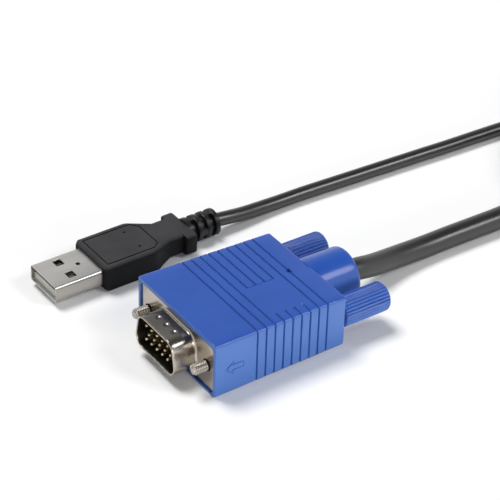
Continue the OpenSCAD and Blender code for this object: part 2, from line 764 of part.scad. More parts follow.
// The thumbscrews: a knob moulded on a captive screw, held by a clip in the hood
module knob(side) {
    r = knob_d / 2;
    bottom = knob_edge_r / 3;
    profile = concat([[0, 0], [r - bottom, 0], [r, bottom]],
        arc([r - knob_edge_r, knob_l - knob_edge_r], knob_edge_r, 0, 90), [[0, knob_l]]);
    color("royalblue") at_screw(side) difference() {
        turned(knob_x, profile);
        for (k = [0:flute_count - 1]) rotate([360 * k / flute_count, 0, 0]) translate([0, 0, r + flute_d / 8])
            rod(knob_x - over, knob_l - 2 * knob_edge_r + over, flute_d);
        rod(knob_x - over, knob_neck_l + 2 * over, knob_neck_d);
        rod(knob_x + knob_neck_l, screw_head_l + fit, screw_head_d + fit);
    }
}
module jackscrew(side) {
    r = shank_d / 2;
    groove_r = r - clip_groove_depth;
    end_l = thread_end_x - thread_x;
    groove_l = clip_x - fit / 2 - thread_x;
    groove_end_l = groove_l + clip_t + fit;
    head_l = knob_x + knob_neck_l - thread_x;
    profile = [[0, 0], [thread_d / 2 - thread_tip_l, 0], [thread_d / 2, thread_tip_l],
        [thread_d / 2, end_l], [r, end_l], [r, groove_l], [groove_r, groove_l], [groove_r, groove_end_l],
        [r, groove_end_l], [r, head_l], [screw_head_d / 2, head_l],
        [screw_head_d / 2, head_l + screw_head_l], [0, head_l + screw_head_l]];
    color("silver") at_screw(side) turned(thread_x, profile);
}
module clip(side) {
    color("dimgray") at_screw(side) difference() {
        rod(clip_x, clip_t, clip_d);
        rod(clip_x - over, clip_t + 2 * over, shank_d - 2 * clip_groove_depth + 2 * running_fit);
        translate([clip_x - over, -clip_slot_w / 2, 0]) cube([clip_t + 2 * over, clip_slot_w, clip_d]);
    }
}

// The USB plug: shell, tongue, contacts and mouldings in the plug's own frame
module usb_shell() {
    l = usb_shell_l + usb_embed_l;
    color("silver") at_usb() difference() {
        along_x(-usb_shell_l, l) polygon(round_box(usb_shell_w, usb_shell_h, usb_corner_r));
        along_x(-usb_shell_l - over, l + 2 * over)
            polygon(round_box(usb_shell_w - 2 * usb_shell_t, usb_shell_h - 2 * usb_shell_t,
                              usb_corner_r - usb_shell_t));
        for (side = [-1, 1]) translate([usb_window_x - usb_shell_l - usb_window_l / 2,
                side * usb_window_y - usb_window_w / 2, -usb_shell_h])
            cube([usb_window_l, usb_window_w, 2 * usb_shell_h]);
        translate([usb_dimple_x - usb_shell_l, 0, 0]) cylinder(h = usb_shell_h, d = usb_dimple_d);
    }
}
module contact_strips(grow, x_grow) {
    top = -usb_shell_h / 2 + usb_shell_t + tongue_gap + tongue_h;
    for (k = [0:len(contact_y_shares) - 1]) {
        outer = abs(contact_y_shares[k]) > 1;
        x = -usb_shell_l + contact_inset + (outer ? 0 : contact_step);
        translate([x - x_grow, contact_y_shares[k] * contact_pitch - contact_w / 2 - grow,
                   top + contact_proud - contact_t - grow])
            cube([usb_embed_l + contact_tail_l - x + 2 * x_grow, contact_w + 2 * grow,
                  contact_t + 2 * grow]);
    }
}
module usb_tongue() {
    w = usb_shell_w - 2 * usb_shell_t - 2 * tongue_gap;
    h = usb_shell_h - 2 * usb_shell_t - 2 * tongue_gap;
    low = -usb_shell_h / 2 + usb_shell_t + tongue_gap;
    r = usb_corner_r - usb_shell_t;
    color("whitesmoke") at_usb() difference() {
        union() {
            translate([0, 0, low + tongue_h / 2])
                along_x(-usb_shell_l + tongue_inset, usb_shell_l + usb_embed_l - tongue_inset)
                    polygon(round_box(w, tongue_h, r));
            along_x(usb_embed_l - tongue_block_l, tongue_block_l) polygon(round_box(w, h, r));
        }
        contact_strips(running_fit / 2, running_fit);
    }
}
module usb_contacts() {
    color("gold") at_usb() contact_strips(0, 0);
}
module usb_wires() {
    top = -usb_shell_h / 2 + usb_shell_t + tongue_gap + tongue_h + contact_proud;
    end_x = usb_embed_l + contact_tail_l;
    gather_x = usb_embed_l + usb_inner_l - usb_ferrule_l - usb_inner_wall - wire_d;
    color("firebrick") at_usb() for (k = [0:len(contact_y_shares) - 1])
        let (y = contact_y_shares[k] * contact_pitch, q = wire_place(k, usb_header_wires))
        tube([[end_x - contact_step, y, top + wire_d / 2], [end_x, y, top + wire_d / 2],
              [gather_x, q[0], q[1]], [usb_cord_start_l, q[0], q[1]]], wire_d, wire_sides);
}
module usb_inner_mould() {
    x = usb_embed_l;
    color("ivory") at_usb() difference() {
        along_x(x, usb_inner_l) square([usb_inner_w, usb_inner_h], center = true);
        along_x(x - over, usb_inner_l - usb_ferrule_l - usb_inner_wall + over)
            square([usb_inner_w - 2 * usb_inner_wall, usb_inner_h - 2 * usb_inner_wall], center = true);
        rod(x, usb_inner_l + over, usb_cord_d + fit + 2 * ferrule_wall + fit);
    }
}
module usb_cord_ferrule() {
    x = usb_embed_l + usb_inner_l - usb_ferrule_l;
    color("goldenrod") at_usb() difference() {
        rod(x, usb_ferrule_l, usb_cord_d + fit + 2 * ferrule_wall);
        rod(x - over, usb_ferrule_l + 2 * over, usb_cord_d + fit);
    }
}
function grip_section(x, w, h) = [x, round_box(w, h, usb_grip_r, 4)];
module usb_panel_line() {
    front_w = usb_grip_w - 2 * panel_inset;
    rear_w = usb_waist_w - panel_inset / 2;
    bend_x = usb_grip_l + panel_inset;
    outline = [[panel_front_x, -front_w / 2], [bend_x, -front_w / 2], [panel_rear_x, -rear_w / 2],
               [panel_rear_x, rear_w / 2], [bend_x, front_w / 2], [panel_front_x, front_w / 2]];
    inner = [for (p = outline)
        [p[0] + (p[0] == panel_front_x ? 1 : p[0] == panel_rear_x ? -1 : -0.4) * panel_line_w,
         p[1] - sign(p[1]) * panel_line_w]];
    translate([0, 0, usb_grip_h / 2 - panel_depth]) linear_extrude(over) difference() {
        polygon(outline);
        polygon(inner);
    }
}
module usb_grip() {
    color("#3c3c3e") at_usb() difference() {
        union() {
            loft([grip_section(0, usb_grip_w - 2 * usb_grip_bevel, usb_grip_h - 2 * usb_grip_bevel),
                  grip_section(usb_grip_bevel_l, usb_grip_w, usb_grip_h),
                  grip_section(usb_grip_l, usb_grip_w, usb_grip_h),
                  grip_section(usb_taper_x, usb_waist_w, usb_waist_h),
                  grip_section(usb_rear_x, usb_waist_w, usb_waist_h)]);
            along_x(usb_wing_x, usb_wing_l) difference() {
                polygon(round_box(usb_wing_w, usb_waist_h, usb_grip_r));
                square([usb_waist_w / 2, usb_waist_h / 2], center = true);
            }
        }
        along_x(-over, usb_embed_l + over + fit)
            polygon(round_box(usb_shell_w + fit, usb_shell_h + fit, usb_corner_r));
        along_x(usb_embed_l, usb_inner_l + fit) square([usb_inner_w + fit, usb_inner_h + fit], center = true);
        rod(usb_embed_l, usb_rear_x, relief_stem_d + fit);
        usb_panel_line();
        for (side = [-1, 1]) translate([mark_x, side * (usb_grip_w - mark_d) / 4, usb_grip_h / 2 - mark_depth])
            cylinder(h = over, d = mark_d);
    }
}
module usb_strain_relief() {
    stem_x = usb_embed_l + usb_inner_l + fit;
    color("#202020") at_usb() difference() {
        union() {
            rod(stem_x, usb_rear_x + relief_l - stem_x, relief_stem_d);
            rod(usb_rear_x, relief_l, relief_core_d);
            rod(usb_rear_x, relief_land_l, relief_d);
            for (k = [1:relief_ribs]) rod(usb_rear_x + relief_land_l + (2 * k - 1) * relief_rib_l,
                                          relief_rib_l, relief_d);
            for (k = [0:relief_ribs - 1]) rotate([90 * k, 0, 0])
                translate([usb_rear_x + relief_land_l + 2 * k * relief_rib_l - fit, -relief_web_w / 2,
                           -relief_d / 2 + fit])
                    cube([relief_rib_l + 2 * fit, relief_web_w, relief_d - 2 * fit]);
        }
        rod(stem_x - over, relief_l + usb_rear_x + 2 * over, usb_cord_d + fit);
    }
}

// The cords
module vga_cord_lead() {
    color("#282828") tube(vga_lead_route, video_cord_d, lead_sides);
}
module vga_cord_coil() {
    color("#282828") tube(vga_coil_route, video_cord_d, turn_sides);
}
module vga_cord_tail() {
    color("#282828") tube(tail(vga_coil_route, video_cord_d, vga_tail_route), video_cord_d, lead_sides);
}
module usb_cord_lead() {
    color("#282828") tube(usb_lead_route, usb_cord_d, lead_sides);
}
module usb_cord_coil() {
    color("#282828") tube(usb_coil_route, usb_cord_d, turn_sides);
}
module usb_cord_tail() {
    color("#282828") tube(tail(usb_coil_route, usb_cord_d, usb_tail_route), usb_cord_d, lead_sides);
}

// The module's case
module case_outline(inset) {
    translate([case_x + case_l / 2, case_y])
        polygon(round_box(case_l - 2 * inset, case_w - 2 * inset, case_corner_r - inset));
}
module slab(z, h, inset) {
    translate([0, 0, z]) linear_extrude(h) case_outline(inset);
}
module at_case_screws() {
    for (sx = [-1, 1], sy = [-1, 1])
        translate([case_x + case_l / 2 + sx * screw_x_spacing / 2, case_y + sy * screw_y_spacing / 2, 0])
            children();
}
module at_feet() {
    for (sx = [-1, 1], sy = [-1, 1])
        translate([case_x + case_l / 2 + sx * (case_l / 2 - foot_inset - foot_d),
                   case_y + sy * (case_w / 2 - foot_inset), 0]) children();
}
module at_ports() {
    translate([0, port_vga_y, port_z]) children(0);
    translate([0, port_usb_y, port_z]) children(1);
}
module port_holes() {
    at_ports() {
        rod(case_x - over, wall + 2 * over, boot_neck_d + fit);
        rod(case_x - over, wall + 2 * over, boot_neck_d + fit);
    }
}
module socket_hole() {
    translate([0, case_y, board_z + board_t + socket_h / 2])
        along_x(case_x + case_l - wall - over, wall + 2 * over)
            square([socket_w + 4 * fit, socket_h + 4 * fit], center = true);
}
module grip_ribs() {
    for (k = [0:grip_rib_count - 1], side = [-1, 1])
        translate([case_x + case_l / 2 + (k - (grip_rib_count - 1) / 2) * grip_rib_pitch - grip_rib_w / 2,
                   case_y + side * (case_w / 2 + over / 2 - grip_rib_depth) - over / 2,
                   case_base_z + case_edge_r])
            cube([grip_rib_w, over, case_h - 3 * case_edge_r]);
}
module case_base() {
    top = seam_z;
    color("#2b2b2d") difference() {
        union() {
            difference() {
                hull() {
                    slab(case_base_z, fit, case_edge_r / 2);
                    slab(case_base_z + case_edge_r / 2, top - case_base_z - case_edge_r / 2, 0);
                }
                slab(case_base_z + wall, top, wall);
                grip_ribs();
            }
            at_case_screws() translate([0, 0, case_base_z + fit])
                cylinder(h = board_z - case_base_z - fit, d = post_d + wall);
        }
        at_case_screws() {
            cylinder(h = case_top_z, d = case_screw_d + 2 * fit);
            translate([0, 0, -over]) cylinder(h = case_base_z + case_screw_head_h + fit + over, d = screw_sink_d);
        }
        at_feet() translate([0, 0, -over]) cylinder(h = case_base_z + foot_sink + over, d = foot_d + 2 * fit);
        port_holes();
        socket_hole();
    }
}
module case_cover() {
    color("#2b2b2d") difference() {
        union() {
            difference() {
                hull() {
                    slab(seam_z, fit, 0);
                    slab(case_top_z - case_edge_r, fit, 0);
                    slab(case_top_z - case_edge_r * 0.3, fit, case_edge_r * 0.3);
                    slab(case_top_z - fit, fit, case_edge_r);
                }
                slab(seam_z - over, case_top_z - seam_z - wall + over, wall);
                grip_ribs();
            }
            difference() {
                union() {
                    slab(seam_z - seam_lip, seam_lip + fit, wall + fit);
                    slab(seam_z + fit, wall, wall - fit);
                }
                slab(seam_z - seam_lip - over, seam_lip + wall + 2 * over, wall + fit + lip_t);
                port_lip_gaps();
            }
            at_case_screws() translate([0, 0, board_z + board_t + fit])
                cylinder(h = case_top_z - wall / 2 - board_z - board_t - fit, d = post_d);
        }
        at_case_screws() translate([0, 0, board_z + board_t - over]) cylinder(h = case_screw_l, d = pilot_d + fit);
        translate([case_x + (case_l - label_l) / 2, case_y - label_w / 2, case_top_z - label_depth])
            cube([label_l, label_w, over]);
        translate([led_x, led_y, case_top_z - wall - over]) cylinder(h = wall + 2 * over, d = pipe_d + fit);
        translate([led_x, led_y, case_top_z - wall - over]) cylinder(h = over + pipe_head_h, d = pipe_head_d + fit);
        port_holes();
        socket_hole();
    }
}
module port_lip_gaps() {
    for (y = [port_vga_y, port_usb_y]) translate([case_x, y - boot_flange_d / 2 - fit, seam_z - 2 * over])
        cube([2 * wall + boot_flange_l + over, boot_flange_d + 2 * fit, wall + 4 * over]);
    translate([case_x + case_l - 3 * wall, case_y - socket_w, seam_z - 2 * over])
        cube([3 * wall, 2 * socket_w, wall + 4 * over]);
}
module case_screws() {
    seat_l = board_z + board_t + fit - case_base_z;
    profile = [[0, 0], [case_screw_head_d / 2, 0], [case_screw_head_d / 2, case_screw_head_h],
        [case_screw_d / 2, case_screw_head_h], [case_screw_d / 2, seat_l], [pilot_d / 2, seat_l],
        [pilot_d / 2, seat_l + case_screw_l / 2], [0, seat_l + case_screw_l / 2]];
    color("dimgray") at_case_screws() translate([0, 0, case_base_z]) difference() {
        rotate_extrude() polygon(profile);
        for (a = [0, 90]) rotate([0, 0, a])
            cube([case_screw_head_d * 0.6, wire_d, case_screw_head_h], center = true);
    }
}
module case_feet() {
    color("#303030") at_feet() cylinder(h = case_base_z + foot_sink, d1 = foot_d - fit * 8, d2 = foot_d);
}
module boot(cord_d) {
    bore_r = (cord_d + fit) / 2;
    root_l = boot_l - fit;
    flange_l = boot_l + wall + fit;
    profile = [[bore_r, 0], [cord_d / 2 + boot_tip_gap, 0], [boot_root_d / 2, root_l],
        [boot_neck_d / 2, root_l], [boot_neck_d / 2, flange_l], [boot_flange_d / 2, flange_l],
        [boot_flange_d / 2, flange_l + boot_flange_l], [bore_r, flange_l + boot_flange_l]];
    color("#202020") difference() {
        turned(boot_end_x, profile);
        for (k = [0:boot_ribs - 1], side = [0, 180])
            rotate([90 * (k % 2) + side, 0, 0])
                translate([boot_end_x + boot_rib_l * (2 + 2.6 * k), cord_d / 2 + fit * 6, -boot_root_d / 2])
                    cube([boot_rib_l, boot_root_d, boot_root_d]);
    }
}
module vga_cord_boot() {
    translate([0, port_vga_y, port_z]) boot(video_cord_d);
}
module usb_cord_boot() {
    translate([0, port_usb_y, port_z]) boot(usb_cord_d);
}

// The circuit board and what it carries
module on_board(x, y) {
    translate([board_x + x, case_y + y, board_z + board_t]) children();
}
module main_board() {
    color("darkgreen") difference() {
        translate([board_x + board_l / 2, case_y, board_z]) linear_extrude(board_t)
            polygon(round_box(board_l, case_w - 2 * wall - 2 * board_gap, case_corner_r - wall));
        at_case_screws() cylinder(h = case_top_z, d = case_screw_d + 4 * fit);
    }
}
module chip(w, t, pins) {
    pitch = (w - chip_margin) / (pins - 1);
    translate([-w / 2, -w / 2, chip_gap]) cube([w, w, t]);
    for (a = [0:90:270], k = [0:pins - 1]) rotate([0, 0, a])
        translate([w / 2, (k - (pins - 1) / 2) * pitch - chip_pin_w / 2, 0])
            cube([chip_pin_l, chip_pin_w, chip_pin_h]);
}
module video_chip() {
    color("#181818") on_board(board_l * 0.4, 0) chip(video_chip_w, video_chip_t, video_chip_pins);
}
module usb_chip() {
    color("#181818") on_board(board_l * 0.72, usb_chip_y) chip(usb_chip_w, usb_chip_t, usb_chip_pins);
}
module clock_crystal() {
    color("silver") on_board(board_l * 0.58, case_w / 2 - led_inset) hull()
        for (side = [-1, 1]) translate([side * crystal_l / 2, 0, 0]) cylinder(h = crystal_h, d = crystal_d, $fn = 24);
}
module board_coils() {
    x = header_inset + header_l + coil_gap;
    color("#303030") for (k = [0:coil_count - 1]) on_board(x + coil_pitch * k, row_inset - case_w / 2) {
        translate([-coil_base_w / 2, -coil_base_w / 2, 0]) cube([coil_base_w, coil_base_w, coil_base_t]);
        translate([0, 0, coil_base_t / 2]) cylinder(h = coil_base_t / 2 + coil_h, d = coil_d);
    }
}
module board_capacitors() {
    x = header_inset + header_l + can_gap;
    color("silver") for (k = [0:can_count - 1]) on_board(x + can_pitch * k, case_w / 2 - row_inset) {
        translate([-can_base_w / 2, -can_base_w / 2, 0]) cube([can_base_w, can_base_w, can_base_t]);
        translate([0, 0, can_base_t / 2]) cylinder(h = can_base_t / 2 + can_h, d = can_d);
    }
}
module socket_outline(inset) {
    w = socket_w / 2 - inset;
    h = socket_h / 2 - inset;
    c = socket_chamfer - inset / 2;
    polygon([[-w, h], [-w, -h + c], [-w + c, -h], [w - c, -h], [w, -h + c], [w, h]]);
}
module at_socket() {
    translate([case_x + case_l + socket_proud - socket_l, case_y, board_z + board_t + socket_h / 2])
        children();
}
module host_socket_shell() {
    color("silver") at_socket() difference() {
        along_x(0, socket_l) socket_outline(0);
        along_x(socket_t, socket_l) socket_outline(socket_t);
    }
}
module host_socket_tongue() {
    color("#181818") at_socket() {
        along_x(socket_t, wall) socket_outline(socket_t + fit / 2);
        translate([socket_t + wall, -socket_tongue_w / 2, 0]) cube([socket_l * 0.6, socket_tongue_w, socket_tongue_h]);
    }
}
module status_led() {
    color("palegreen") translate([led_x, led_y, board_z + board_t]) {
        cylinder(h = led_l - led_d / 2, d = led_d);
        translate([0, 0, led_l - led_d / 2]) sphere(d = led_d);
    }
}
module light_pipe() {
    low = board_z + board_t + led_l + fit * 2;
    color("white") translate([led_x, led_y, 0]) {
        translate([0, 0, low]) cylinder(h = case_top_z - low, d = pipe_d);
        translate([0, 0, case_top_z - wall - over]) cylinder(h = over + pipe_head_h - fit, d = pipe_head_d);
    }
}
module header(y, count) {
    w = (count + 1) * header_pitch;
    color("whitesmoke") difference() {
        translate([header_x, y - w / 2, board_z + board_t]) cube([header_l, w, header_h]);
        for (k = [0:count - 1]) translate([0, y + header_wire_y(k, count), header_wire_z])
            rod(header_x - over, header_l / 2 + over, wire_d + fit);
    }
}
module vga_header() {
    header(port_vga_y, vga_header_wires);
}
module usb_header() {
    header(port_usb_y, usb_header_wires);
}
module header_wire_set(y, count) {
    end_x = case_x + tail_in_l;
    for (k = [0:count - 1]) let (q = wire_place(k, count), far_y = y + header_wire_y(k, count))
        tube([[end_x, y + q[0], port_z + q[1]], [end_x + wire_d, y + q[0], port_z + q[1]],
              [header_x - wire_d, far_y, header_wire_z], [header_x + header_l / 2 - fit, far_y, header_wire_z]],
             wire_d, wire_sides);
}
module header_wires() {
    color("firebrick") {
        header_wire_set(port_vga_y, vga_header_wires);
        header_wire_set(port_usb_y, usb_header_wires);
    }
}

vga_hood();
vga_front_shell();
vga_rear_shell();
vga_front_insulator();
vga_rear_insulator();
vga_pins();
vga_wires();
vga_inner_mould();
vga_cord_ferrule();
knob(-1);  // near_knob
knob(1);  // far_knob
jackscrew(-1);  // near_jackscrew
jackscrew(1);  // far_jackscrew
clip(-1);  // near_clip
clip(1);  // far_clip
usb_shell();
usb_tongue();
usb_contacts();
usb_wires();
usb_inner_mould();
usb_cord_ferrule();
usb_grip();
usb_strain_relief();
vga_cord_lead();
vga_cord_coil();
vga_cord_tail();
usb_cord_lead();
usb_cord_coil();
usb_cord_tail();
case_base();
case_cover();
case_screws();
case_feet();
vga_cord_boot();
usb_cord_boot();
main_board();
video_chip();
usb_chip();
clock_crystal();
board_coils();
board_capacitors();
host_socket_shell();
host_socket_tongue();
status_led();
light_pipe();
vga_header();
usb_header();
header_wires();
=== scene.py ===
"""Crash cart adapter: a blue video plug and a black USB plug on cords that lead to a flat case.

Sizes are in millimetres in the part's own frame, and points become metres when a mesh is made.
"""

from __future__ import annotations

import json
import logging
import math
from dataclasses import dataclass, field
from enum import Enum
from typing import Iterable, Optional, Sequence

import bmesh
import bpy
import numpy as np
from mathutils import Matrix, Vector

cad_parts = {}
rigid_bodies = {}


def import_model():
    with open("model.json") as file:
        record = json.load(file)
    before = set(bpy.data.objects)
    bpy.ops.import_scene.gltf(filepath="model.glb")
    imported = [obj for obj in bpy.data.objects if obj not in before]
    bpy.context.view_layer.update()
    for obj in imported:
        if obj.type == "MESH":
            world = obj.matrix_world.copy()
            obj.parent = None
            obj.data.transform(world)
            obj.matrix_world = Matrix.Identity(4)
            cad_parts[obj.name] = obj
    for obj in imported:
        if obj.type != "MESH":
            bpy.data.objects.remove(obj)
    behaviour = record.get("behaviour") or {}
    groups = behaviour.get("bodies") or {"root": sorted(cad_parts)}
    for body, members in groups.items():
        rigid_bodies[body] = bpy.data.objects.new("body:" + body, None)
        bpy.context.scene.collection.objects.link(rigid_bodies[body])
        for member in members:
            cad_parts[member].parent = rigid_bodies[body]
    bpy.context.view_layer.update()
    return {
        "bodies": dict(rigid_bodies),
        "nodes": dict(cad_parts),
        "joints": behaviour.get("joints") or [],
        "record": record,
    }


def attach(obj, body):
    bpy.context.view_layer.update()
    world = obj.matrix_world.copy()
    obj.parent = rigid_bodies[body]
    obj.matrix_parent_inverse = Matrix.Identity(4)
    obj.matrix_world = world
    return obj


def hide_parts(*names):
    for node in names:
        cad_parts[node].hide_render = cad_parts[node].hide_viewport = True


MM = 0.001
CORD_GAP = 0.05
SHARP_ANGLE = 38.0
ADAPTER = "adapter"

log = logging.getLogger("crash_cart_adapter")

Point = Sequence[float]
Face = Sequence[int]
Piece = bpy.types.Object
Node = bpy.types.Node
NodeTree = bpy.types.NodeTree
Link = tuple[Node, str | int, Node, str | int]
Colour = tuple[float, float, float, float]


class Slot(Enum):
    """The record's material slots."""

    HOOD = "hood_pvc"
    SHELL = "shell_nickel"
    INSULATOR = "insulator_black"
    CONTACT = "gold_contact"
    WIRE = "wire_pvc"
    INNER = "inner_pe"
    CRIMP = "crimp_brass"
    SCREW = "screw_nickel"
    SPRING = "spring_steel"
    USB_STEEL = "usb_steel"
    TONGUE = "tongue_white"
    GRIP = "grip_black"
    RELIEF = "relief_black"
    CORD = "cord_black"
    CASE = "case_black"
    FOOT = "foot_rubber"
    BOARD = "board_green"
    CHIP = "chip_black"
    CAN = "can_metal"
    FERRITE = "ferrite"
    LENS = "led_lens"
    PIPE = "pipe_clear"


class Side(Enum):
    """The two thumbscrews."""

    NEAR = -1
    FAR = 1

    @property
    def word(self) -> str:
        """The side's name as the nodes have it."""
        return self.name.lower()


# Meshes


def rgb(red: int, green: int, blue: int) -> Colour:
    """Turns a display colour of 0 to 255 into a linear one.

    Args:
        red: Red part.
        green: Green part.
        blue: Blue part.

    Returns:
        The linear colour with full alpha.
    """

    def linear(value: int) -> float:
        """Turns one part into its linear value."""
        share = value / 255
        return share / 12.92 if share <= 0.04045 else ((share + 0.055) / 1.055) ** 2.4

    return linear(red), linear(green), linear(blue), 1.0


def add_object(name: str, data: bpy.types.ID) -> Piece:
    """Puts a new object into the scene.

    Args:
        name: The object's name.
        data: Its mesh, lamp or camera.

    Returns:
        The object.
    """
    piece = bpy.data.objects.new(name, data)
    bpy.context.scene.collection.objects.link(piece)
    return piece


def make_piece(name: str, points: Iterable[Point], faces: Iterable[Face]) -> Piece:
    """Makes a closed mesh from points in millimetres, with its faces turned outwards.

    Args:
        name: The piece's name.
        points: Corners in millimetres.
        faces: Corner numbers of each face.

    Returns:
        The new object, linked to the scene.
    """
    mesh = bpy.data.meshes.new(name)
    mesh.from_pydata([tuple(float(value) * MM for value in point) for point in points], [], list(faces))
    shape = bmesh.new()
    shape.from_mesh(mesh)
    bmesh.ops.remove_doubles(shape, verts=shape.verts, dist=1e-7)
    bmesh.ops.recalc_face_normals(shape, faces=shape.faces)
    shape.to_mesh(mesh)
    shape.free()
    return add_object(name, mesh)


def ring_faces(ring_count: int, ring_size: int, closed: bool) -> list[Face]:
    """Lists the faces of a skin over rings of equal size.

    Args:
        ring_count: How many rings there are.
        ring_size: Points in each ring.
        closed: Whether the last ring joins the first, or else each end has a face.

    Returns:
        The faces, as corner numbers.
    """
    faces: list[Face] = []
    for ring in range(ring_count if closed else ring_count - 1):
        start = ring * ring_size
        after = ((ring + 1) % ring_count) * ring_size
        for step in range(ring_size):
            turn = (step + 1) % ring_size
            faces.append((start + step, start + turn, after + turn, after + step))
    if not closed:
        faces.append(tuple(reversed(range(ring_size))))
        faces.append(tuple(range((ring_count - 1) * ring_size, ring_count * ring_size)))
    return faces


def skin(name: str, rings: Sequence[np.ndarray], closed: bool = False) -> Piece:
    """Makes a piece from a run of rings of one size; closed joins the last to the first."""
    return make_piece(name, np.concatenate(rings), ring_faces(len(rings), len(rings[0]), closed))


def ring_at(x: float, radii: np.ndarray, centre: Point) -> np.ndarray:
    """Makes a ring about a line along X, with a radius for each angle."""
    angles = np.arange(len(radii)) * 2 * math.pi / len(radii)
    return at_x(np.column_stack([centre[0] + radii * np.cos(angles), centre[1] + radii * np.sin(angles)]), x)


def lathe(name: str, profile: Sequence[Point], centre: Point, sides: int = 64, bore: bool = False) -> Piece:
    """Turns a profile of [x, radius] pairs about a line along X; a bore closes the profile to a loop."""
    return skin(name, [ring_at(x, np.full(sides, r), centre) for x, r in profile], closed=bore)


def rod(name: str, ends: Point, radius: float, centre: Point, sides: int = 48) -> Piece:
    """Makes a plain cylinder along X."""
    return lathe(name, [(ends[0], 0), (ends[0], radius), (ends[1], radius), (ends[1], 0)], centre, sides)


def fillet(centre: Point, radius: float, start: float, end: float, steps: int = 5) -> list[Point]:
    """Gives the points of an arc from one angle in degrees to another."""
    angles = [math.radians(start + (end - start) * step / steps) for step in range(steps + 1)]
    return [(centre[0] + radius * math.cos(a), centre[1] + radius * math.sin(a)) for a in angles]


def circle(centre: Point, radius: float, sides: int) -> list[Point]:
    """Gives the points of a circle."""
    return fillet(centre, radius, 0, 360 - 360 / sides, sides - 1)


def rounding(angles: Iterable[float]) -> list[tuple[float, float]]:
    """Gives a unit rounding's way in from its two sides, 1 - cosine and 1 - sine, at angles in degrees."""
    turns = [math.radians(angle) for angle in angles]
    return [(1 - math.cos(turn), 1 - math.sin(turn)) for turn in turns]


def finish_mesh(piece: Piece, material: bpy.types.Material, angle: float) -> None:
    """Gives a piece its material and smooth shading with sharp edges kept.

    Args:
        piece: The piece.
        material: Its material.
        angle: Edges steeper than this stay sharp, in degrees.
    """
    piece.data.materials.clear()
    piece.data.materials.append(material)
    piece.data.shade_smooth()
    piece.data.set_sharp_from_angle(angle=math.radians(angle))


def apply_modifiers(piece: Piece) -> None:
    """Replaces a piece's mesh with its evaluated one and removes its modifiers.

    Args:
        piece: The piece.
    """
    bpy.context.view_layer.update()
    depsgraph = bpy.context.evaluated_depsgraph_get()
    made = bpy.data.meshes.new_from_object(piece.evaluated_get(depsgraph))
    piece.modifiers.clear()
    old = piece.data
    piece.data = made
    bpy.data.meshes.remove(old)


def remove(piece: Piece) -> None:
    """Deletes a helper object and its mesh.

    Args:
        piece: The object.
    """
    mesh = piece.data
    bpy.data.objects.remove(piece)
    bpy.data.meshes.remove(mesh)


def cut(piece: Piece, cutters: Sequence[Piece]) -> None:
    """Cuts shapes out of a piece and deletes them.

    Args:
        piece: The piece that is cut.
        cutters: The closed shapes that go.
    """
    for cutter in cutters:
        modifier = piece.modifiers.new(cutter.name, "BOOLEAN")
        modifier.operation = "DIFFERENCE"
        modifier.solver = "EXACT"
        modifier.object = cutter
    apply_modifiers(piece)
    for cutter in cutters:
        remove(cutter)


def bevel(piece: Piece, width: float, steps: int = 2, angle: float = 35) -> None:
    """Rounds a piece's sharp edges.

    Args:
        piece: The piece.
        width: The bevel's width in millimetres.
        steps: Its segments.
        angle: Edges steeper than this are rounded, in degrees.
    """
    modifier = piece.modifiers.new("edge", "BEVEL")
    modifier.width = width * MM
    modifier.segments = steps
    modifier.limit_method = "ANGLE"
    modifier.angle_limit = math.radians(angle)
    apply_modifiers(piece)


def join(name: str, pieces: Sequence[Piece]) -> Piece:
    """Joins meshes that carry one material into a piece.

    Args:
        name: The new piece's name.
        pieces: The objects, which are deleted.

    Returns:
        The joined object.
    """
    shape = bmesh.new()
    for piece in pieces:
        shape.from_mesh(piece.data)
    mesh = bpy.data.meshes.new(name)
    shape.to_mesh(mesh)
    shape.free()
    for piece in pieces:
        remove(piece)
    return add_object(name, mesh)


def at_x(outline: Sequence[Point], x: float, z: float = 0.0) -> np.ndarray:
    """Stands a [y, z] outline up at x, with its middle at height z."""
    flat = np.array(outline, dtype=float)
    return np.column_stack([np.full(len(flat), x), flat + (0.0, z)])


def at_z(outline: Sequence[Point], z: float, x: float = 0.0, y: float = 0.0) -> np.ndarray:
    """Lays an [x, y] outline down at height z, with its middle at x and y."""
    flat = np.array(outline, dtype=float)
    return np.column_stack([flat + (x, y), np.full(len(flat), z)])


def block(name: str, low: Point, high: Point) -> Piece:
    """Makes a box between its lowest and its highest corner."""
    face = [(low[1], low[2]), (high[1], low[2]), (high[1], high[2]), (low[1], high[2])]
    return skin(name, [at_x(face, x) for x in (low[0], high[0])])


def prism(name: str, outline: Sequence[Point], low: float, high: float) -> Piece:
    """Extrudes an [x, y] outline between two heights."""
    return skin(name, [at_z(outline, z) for z in (low, high)])


def frame_prism(name: str, outer: Sequence[Point], inner: Sequence[Point], low: float, high: float) -> Piece:
    """Extrudes the band between two outlines of equal count between two heights."""
    corners = ((outer, low), (outer, high), (inner, high), (inner, low))
    return skin(name, [at_z(outline, z) for outline, z in corners], closed=True)


